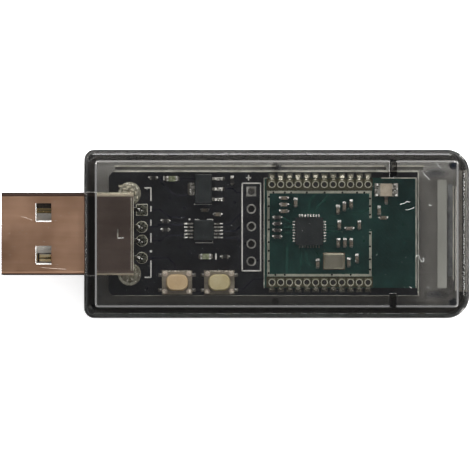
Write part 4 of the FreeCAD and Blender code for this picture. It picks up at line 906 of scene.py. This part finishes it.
def shell_glints():
    """Painted highlights on the plug shell's rear rim, windows and raised tab, painted shadow and painted
    gold highlights inside its windows, and scratches and specks on the plug.
    """
    mesh = bmesh.new()
    top = SHELL_HIGH.z
    far, near, rear = SHELL_HIGH.y, SHELL_LOW.y, SHELL_HIGH.x
    # Painted highlights: two cream lines along the shell's rear rim and one down the raised tab.
    for back in (0.04, 0.34):
        stroke(mesh, (rear - back * MM, far - 0.75 * MM), (rear - back * MM, near + 0.7 * MM),
               0.10 * MM, top - INK, top + FILM)
    corner = Vector((rear - 2.3 * MM, -0.7 * MM))
    stroke(mesh, (corner.x, 0.1 * MM), (corner.x, -0.55 * MM), 0.07 * MM, top - INK, top + FILM)
    piece_from(mesh, "shell_glints", PAINTED_CREAM_HIGHLIGHT)
    # Painted highlights: a white stroke under the raised tab and white strips along two edges of each
    # window.
    cut = bmesh.new()
    stroke(cut, (corner.x + 0.1 * MM, -0.6 * MM), (corner.x + 0.8 * MM, -0.62 * MM), 0.15 * MM,
           top - INK, top + FILM)
    left, right = SHELL_LOW.x + 4.95 * MM, SHELL_LOW.x + 7.25 * MM
    for middle in (3.1, -3.1):
        low, high = (middle - 1.35) * MM, (middle + 1.35) * MM
        slab(cut, [(left, low), (left + 0.1 * MM, low), (left + 0.1 * MM, high), (left, high)],
             top - 0.3 * MM, top - 0.02 * MM)
        slab(cut, [(left, low), (right, low), (right, low + 0.15 * MM), (left, low + 0.15 * MM)],
             top - 0.3 * MM, top - 0.02 * MM)
    piece_from(cut, "window_edge_highlights", PAINTED_EDGE_HIGHLIGHT)
    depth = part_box("usb_contact_1")[1].z
    shade, gold = bmesh.new(), bmesh.new()
    for x0, x1, y0, y1 in ((-29.0, -26.77, 3.72, 4.43), (-28.7, -26.77, 3.38, 3.47),
                           (-28.7, -26.77, 3.0, 3.08), (-28.95, -26.77, -2.9, -2.79),
                           (-28.75, -28.5, -4.1, -2.9), (-28.5, -26.77, -3.6, -3.48)):
        slab(shade, [(x0 * MM, y0 * MM), (x1 * MM, y0 * MM), (x1 * MM, y1 * MM),
                     (x0 * MM, y1 * MM)], depth, depth + FILM)
    # Painted highlight: bright gold strokes on the contact in the lower window.
    for y, wide, turn in ((-3.24, 0.32, 0.1), (-3.8, 0.36, -0.08)):
        stroke(gold, (-28.3 * MM, y * MM), (-26.98 * MM, (y + turn) * MM), wide * MM, depth,
               depth + 2 * FILM)
    piece_from(shade, "window_shade", WINDOW_DARK)
    piece_from(gold, "window_gold_highlight", PAINTED_GOLD_HIGHLIGHT)
    marks = bmesh.new()
    random.seed(19)
    for route in ([(-31.1, 2.52), (-30.4, 2.36)], [(-30.35, 2.3), (-29.5, 1.98)],
                  [(-28.2, -4.9), (-24.6, -5.15)], [(-26.2, 1.98), (-26.05, 1.9)]):
        path_of(marks, [(x * MM, y * MM) for x, y in route], 0.045 * MM, top - INK,
                top + 0.3 * FILM)
    for _ in range(46):
        x, y = random.uniform(-33.6, -22.3), random.uniform(-5.2, 5.2)
        if not (-29.3 < x < -26.5 and 1.5 < abs(y) < 4.7):
            disc(marks, (x * MM, y * MM), random.uniform(0.02, 0.045) * MM, top - INK,
                 top + 0.3 * FILM, 8)
    piece_from(marks, "plug_marks", PLUG_SCRATCH)


def pin_rims():
    """A pale rim round each pin's pad."""
    rims = bmesh.new()
    for low, high in loose_parts("pin_solder"):
        middle = (low + high) / 2
        if middle.y > 3.0 * MM:
            x, y, half = middle.x, middle.y, 0.8 * MM
            path_of(rims, [(x - half, y - half), (x + half, y - half), (x + half, y + half),
                           (x - half, y + half), (x - half, y - half)], 0.11 * MM, BOARD_TOP,
                    BOARD_TOP + 3 * INK)
        else:
            ring(rims, (middle.x, middle.y), 0.86 * MM, 0.74 * MM, BOARD_TOP, BOARD_TOP + 3 * INK)
    piece_from(rims, "pin_rims", RING_PALE)


def board_edges():
    """Pale strips along the boards' cut edges: bare laminate where the mask stops short, and a painted
    highlight of the edges; the main board's far strip reaches past its edge.
    """
    mesh = bmesh.new()
    width = 0.1 * MM
    for low_corner, high_corner, top, sides in (
            (BOARD_LOW, BOARD_HIGH, BOARD_TOP, "far near back"),
            (MODULE_LOW, MODULE_HIGH, MODULE_TOP, "far back")):
        low, high = top - 0.02 * MM, top + FILM
        left, right = low_corner.x + 0.7 * MM, high_corner.x
        near, far = low_corner.y, high_corner.y
        if top == MODULE_TOP:
            left = right - 5.1 * MM
            front = low_corner.x
            stroke(mesh, (front + 0.07 * MM, near), (front + 0.07 * MM, far - 0.05 * MM), width,
                   low, high)
            stroke(mesh, (front + 0.07 * MM, far - 0.05 * MM), (front + 0.5 * MM, far - 0.05 * MM),
                   width, low, high)
        boxes = {
            "far": (left, right, far - 0.02 * MM, far + 0.2 * MM) if top == BOARD_TOP else
                   (left, right, far - width, far + 0.02 * MM),
            "near": (left, right, near - 0.01 * MM, near + 0.5 * width),
            "back": (right - width, right + 0.02 * MM, near, far),
        }
        for side in sides.split():
            one, two, three, four = boxes[side]
            slab(mesh, [(one, three), (two, three), (two, four), (one, four)], low, high)
    return piece_from(mesh, "board_edges", LAMINATE_AND_HIGHLIGHT)


def case_glints():
    """Painted highlights along the moulded edges inside the case, a pale film on top of its ridge, and
    thin films inside the case: painted shade, painted light and darker clouds.
    """
    low_face, high_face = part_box("case_bottom")
    ledge = LEDGE_TOP
    inner = high_face.y - 1.6 * MM - 0.8 * MM
    mesh = bmesh.new()
    # Painted highlights along the ledge's inner edges, at the far side and at the end.
    for start, end in ((-17.5, 5.75), (6.7, 21.6), (22.8, 27.4)):
        stroke(mesh, (start * MM, inner), (end * MM, inner), 0.15 * MM, ledge - INK, ledge + INK)
    stroke(mesh, (31.66 * MM, 6.9 * MM), (31.66 * MM, -6.7 * MM), 0.14 * MM, ledge - INK,
           ledge + INK)
    piece_from(mesh, "case_glints", EDGE_PALE)
    # A pale film on top of the ridge.
    ridge_pale = bmesh.new()
    left, right, near, far = 29.37 * MM, 30.74 * MM, -7.9 * MM, 7.9 * MM
    top = 3.8 * MM
    slab(ridge_pale, [(left, near), (right, near), (right, far), (left, far)], top - INK, top + INK)
    piece_from(ridge_pale, "ridge_pale_top", RIDGE_PALE)

    def film(name, boxes, material, level):
        mesh = bmesh.new()
        for x0, x1, y0, y1 in boxes:
            slab(mesh, [(x0 * MM, y0 * MM), (x1 * MM, y0 * MM), (x1 * MM, y1 * MM),
                        (x0 * MM, y1 * MM)], level * MM, level * MM + FILM)
        piece_from(mesh, name, material)

    film("trench_shade", [(30.84, 31.55, -6.2, 7.2)], TRENCH, 1.2)
    film("gap_shade", [(-17.5, 21.9, 9.32, 9.76), (23.1, 27.3, 9.32, 9.76)], GAP_SHADE, 1.2)
    # Painted light on the top of the end ledge.
    film("end_ledge_light", [(31.95, 32.36, -8.3, 6.9)], PAINTED_LEDGE_LIGHT, 2.6)
    # Painted sheen on the case's end wall, at the seam between the halves.
    film("painted_seam_sheen", [(32.46, 32.98, -8.4, 9.2)], PAINTED_SEAM_SHEEN, 5.4 - 0.006)
    film("corner_shade_far", [(30.9, 32.39, 9.3, 10.64)], CLOUD_BLUE, 2.6)
    film("corner_shade_near", [(30.9, 32.39, -10.64, -9.3)], CLOUD_BLUE, 2.6)
    film("floor_cloud_far", [(27.0, 31.4, 7.9, 9.7)], CLOUD_GREY, 1.204)
    film("floor_cloud_near", [(27.2, 31.2, -9.6, -8.1)], CLOUD_GREY, 1.204)
    film("ledge_cloud", [(4.6, 7.6, 9.0, 10.3)], CLOUD_GREY, 2.6)


def lid_marks():
    """The scratches and specks that the lid carries."""
    mesh = bmesh.new()
    low = LID_HIGH.z - 0.002 * MM
    high = LID_HIGH.z + 0.004 * MM
    fine = 0.07 * MM
    scratches = [
        [(23.95, 4.3), (24.6, 4.45), (24.9, 4.72), (25.3, 4.6)],
        [(24.75, 3.5), (25.2, 3.52), (25.95, 3.8)],
        [(28.15, 4.2), (28.5, 4.15)],
        [(25.3, -7.65), (25.6, -7.9)],
        [(27.9, -7.7), (28.2, -7.95)],
    ]
    for route in scratches:
        path_of(mesh, [(x * MM, y * MM) for x, y in route], 0.6 * fine, low, high)
    for route in ([(27.25, 8.9), (27.75, 8.35), (28.25, 7.8)],
                  [(29.15, 10.4), (29.6, 9.8), (29.9, 9.45)],
                  [(26.15, -3.45), (26.4, -3.1), (26.75, -3.2), (26.8, -3.6)],
                  [(26.85, -3.7), (27.1, -4.1), (27.35, -4.0), (27.4, -3.6), (27.15, -3.5)]):
        path_of(mesh, [(x * MM, y * MM) for x, y in route], 0.035 * MM, low, high)
    random.seed(7)
    for _ in range(70):
        spot = (random.uniform(LID_LOW.x + 3 * MM, LID_HIGH.x - 3 * MM),
                random.uniform(LID_LOW.y + 3 * MM, LID_HIGH.y - 3 * MM))
        disc(mesh, spot, random.uniform(0.015, 0.04) * MM, low, high, 8)
    return piece_from(mesh, "lid_marks", MARK_PALE)


main_board_print()
main_board_tracks()
module_details()
solder_toes()
sparks()
edge_joints()
shell_glints()
pin_rims()
board_edges()
case_glints()
lid_marks()


# Stage, light and camera

FLOOR_LIFT = 0.6
FLOOR_THROUGH = 0.02

def make_floor():
    """A pale floor just under the stick."""
    mesh = bmesh.new()
    reach = 1.5
    corners = [(-reach, -reach), (reach, -reach), (reach, reach), (-reach, reach)]
    mesh.faces.new([mesh.verts.new((x, y, -0.03 * MM)) for x, y in corners])
    data = bpy.data.meshes.new("floor")
    mesh.to_mesh(data)
    mesh.free()
    floor = bpy.data.objects.new("floor", data)
    bpy.context.scene.collection.objects.link(floor)
    material, tree, output = new_material("floor_pale")
    path = add(tree, "LightPath")
    through = add(tree, "Math", {"operation": "MAXIMUM"}, i0=path.outputs["Is Glossy Ray"],
                  i1=path.outputs["Is Transmission Ray"])
    faint = add(tree, "Math", {"operation": "MULTIPLY"}, i0=through.outputs[0], i1=FLOOR_THROUGH)
    lift = add(tree, "Math", {"operation": "MULTIPLY_ADD"}, i0=path.outputs["Is Camera Ray"],
               i1=FLOOR_LIFT, i2=faint.outputs[0])
    straight = add(tree, "Math", {"operation": "SUBTRACT", "use_clamp": True},
                   i0=path.outputs["Is Glossy Ray"], i1=path.outputs["Is Transmission Ray"])
    matt = add(tree, "BsdfDiffuse",
               Color=blend(tree, straight.outputs[0], (0.86, 0.86, 0.86), (0.22, 0.22, 0.22)))
    glow = add(tree, "Emission", Color=rgba((1, 1, 1)), Strength=lift.outputs[0])
    both = add(tree, "AddShader", i0=matt.outputs[0], i1=glow.outputs[0])
    tree.links.new(both.outputs[0], output.inputs["Surface"])
    data.materials.append(material)


def make_world():
    """White to the camera; a room with a bright side and a dark ceiling in metal and plastic."""
    world = bpy.data.worlds.new("room")
    bpy.context.scene.world = world
    world.use_nodes = True
    tree = world.node_tree
    tree.nodes.clear()
    output = tree.nodes.new("ShaderNodeOutputWorld")
    path = add(tree, "LightPath")
    way = add(tree, "SeparateXYZ", Vector=add(tree, "TexCoord").outputs["Generated"])
    slant = add(tree, "Math", {"operation": "MULTIPLY"}, i0=way.outputs["X"], i1=0.15)
    toward = add(tree, "Math", {"operation": "ADD"}, i0=slant.outputs[0], i1=way.outputs["Y"])
    side = spread(tree, toward.outputs[0], -0.5, 0.7, 0.0, 1.0)
    level = blend(tree, side, (0.58, 0.59, 0.61), (1, 1, 1))
    height = spread(tree, way.outputs["Z"], 0.35, 0.92, 0.0, 1.0)
    room = add(tree, "Background", Color=blend(tree, height, level, (0.095, 0.095, 0.10)))
    soft = add(tree, "Background", Color=rgba((1, 1, 1)), Strength=0.76)
    white = add(tree, "Background", Color=rgba((1, 1, 1)), Strength=1.0)
    seen = add(tree, "Math", {"operation": "MAXIMUM"}, i0=path.outputs["Is Glossy Ray"],
               i1=path.outputs["Is Transmission Ray"])
    inside = add(tree, "MixShader", i0=seen.outputs[0], i1=soft.outputs[0], i2=room.outputs[0])
    final = add(tree, "MixShader", i0=path.outputs["Is Camera Ray"], i1=inside.outputs[0],
                i2=white.outputs[0])
    tree.links.new(final.outputs[0], output.inputs["Surface"])


CASE_HALVES = ("case_top", "case_bottom")
BROAD_FACES = ("usb_shell", "main_board", "radio_board")


def lamp(name, azimuth, elevation, distance, width, height, power):
    """A soft rectangular lamp that points at the stick."""
    data = bpy.data.lights.new(name, "AREA")
    data.shape = "RECTANGLE"
    data.size = width
    data.size_y = height
    data.energy = power
    lit = bpy.data.objects.new(name, data)
    turn, rise = math.radians(azimuth), math.radians(elevation)
    lit.location = (distance * math.cos(turn) * math.cos(rise),
                    distance * math.sin(turn) * math.cos(rise), distance * math.sin(rise))
    lit.rotation_mode = "QUATERNION"
    lit.rotation_quaternion = lit.location.to_track_quat("Z", "Y")
    bpy.context.scene.collection.objects.link(lit)
    return lit


def gleam(name, nodes, state, *place):
    """A lamp that shows only as a gleam: state says if it is for these nodes or for all others."""
    lit = lamp(name, *place)
    lit.visible_diffuse = lit.visible_transmission = lit.visible_volume_scatter = False
    linked = bpy.data.collections.new(name)
    for node in nodes:
        linked.objects.link(NODES[node])
    lit.light_linking.receiver_collection = linked
    for item in linked.collection_objects:
        item.light_linking.link_state = state


def window(name, place, power, on_faces, on_case):
    """A large lamp whose mirror image is held back on the broad faces and on the case."""
    lit = lamp(name, *place, power)
    lit.visible_glossy = lit.visible_transmission = False
    gleam(name + "_sparks", CASE_HALVES + BROAD_FACES, "EXCLUDE", *place, power)
    gleam(name + "_faces", BROAD_FACES, "INCLUDE", *place, on_faces)
    gleam(name + "_case", CASE_HALVES, "INCLUDE", *place, on_case)


def make_camera():
    """Straight above the stick, with the plug to the left."""
    data = bpy.data.cameras.new("camera")
    data.type = "ORTHO"
    data.ortho_scale = 68.31 * MM
    data.clip_start = 0.01
    data.clip_end = 5.0
    camera = bpy.data.objects.new("camera", data)
    camera.location = (-0.06 * MM, -0.17 * MM, 0.3)
    bpy.context.scene.collection.objects.link(camera)
    bpy.context.scene.camera = camera


make_floor()
make_world()
window("window", (90, 33, 0.27, 0.10, 0.09), 1.6, 0.28, 0.13)
window("window_side", (48, 34, 0.27, 0.16, 0.05), 0.6, 0.2, 0.06)
gleam("rim_line", CASE_HALVES, "INCLUDE", 90, 48, 0.27, 0.12, 0.085, 0.15)
gleam("rim_far", CASE_HALVES, "INCLUDE", 90, 64, 0.27, 0.12, 0.055, 0.19)
lamp("rim_end", 0, 67, 0.27, 0.024, 0.030, 0.03)
lamp("rim_near", -90, 60, 0.27, 0.07, 0.012, 0.03)
make_camera()
bpy.context.scene.view_settings.view_transform = "Standard"
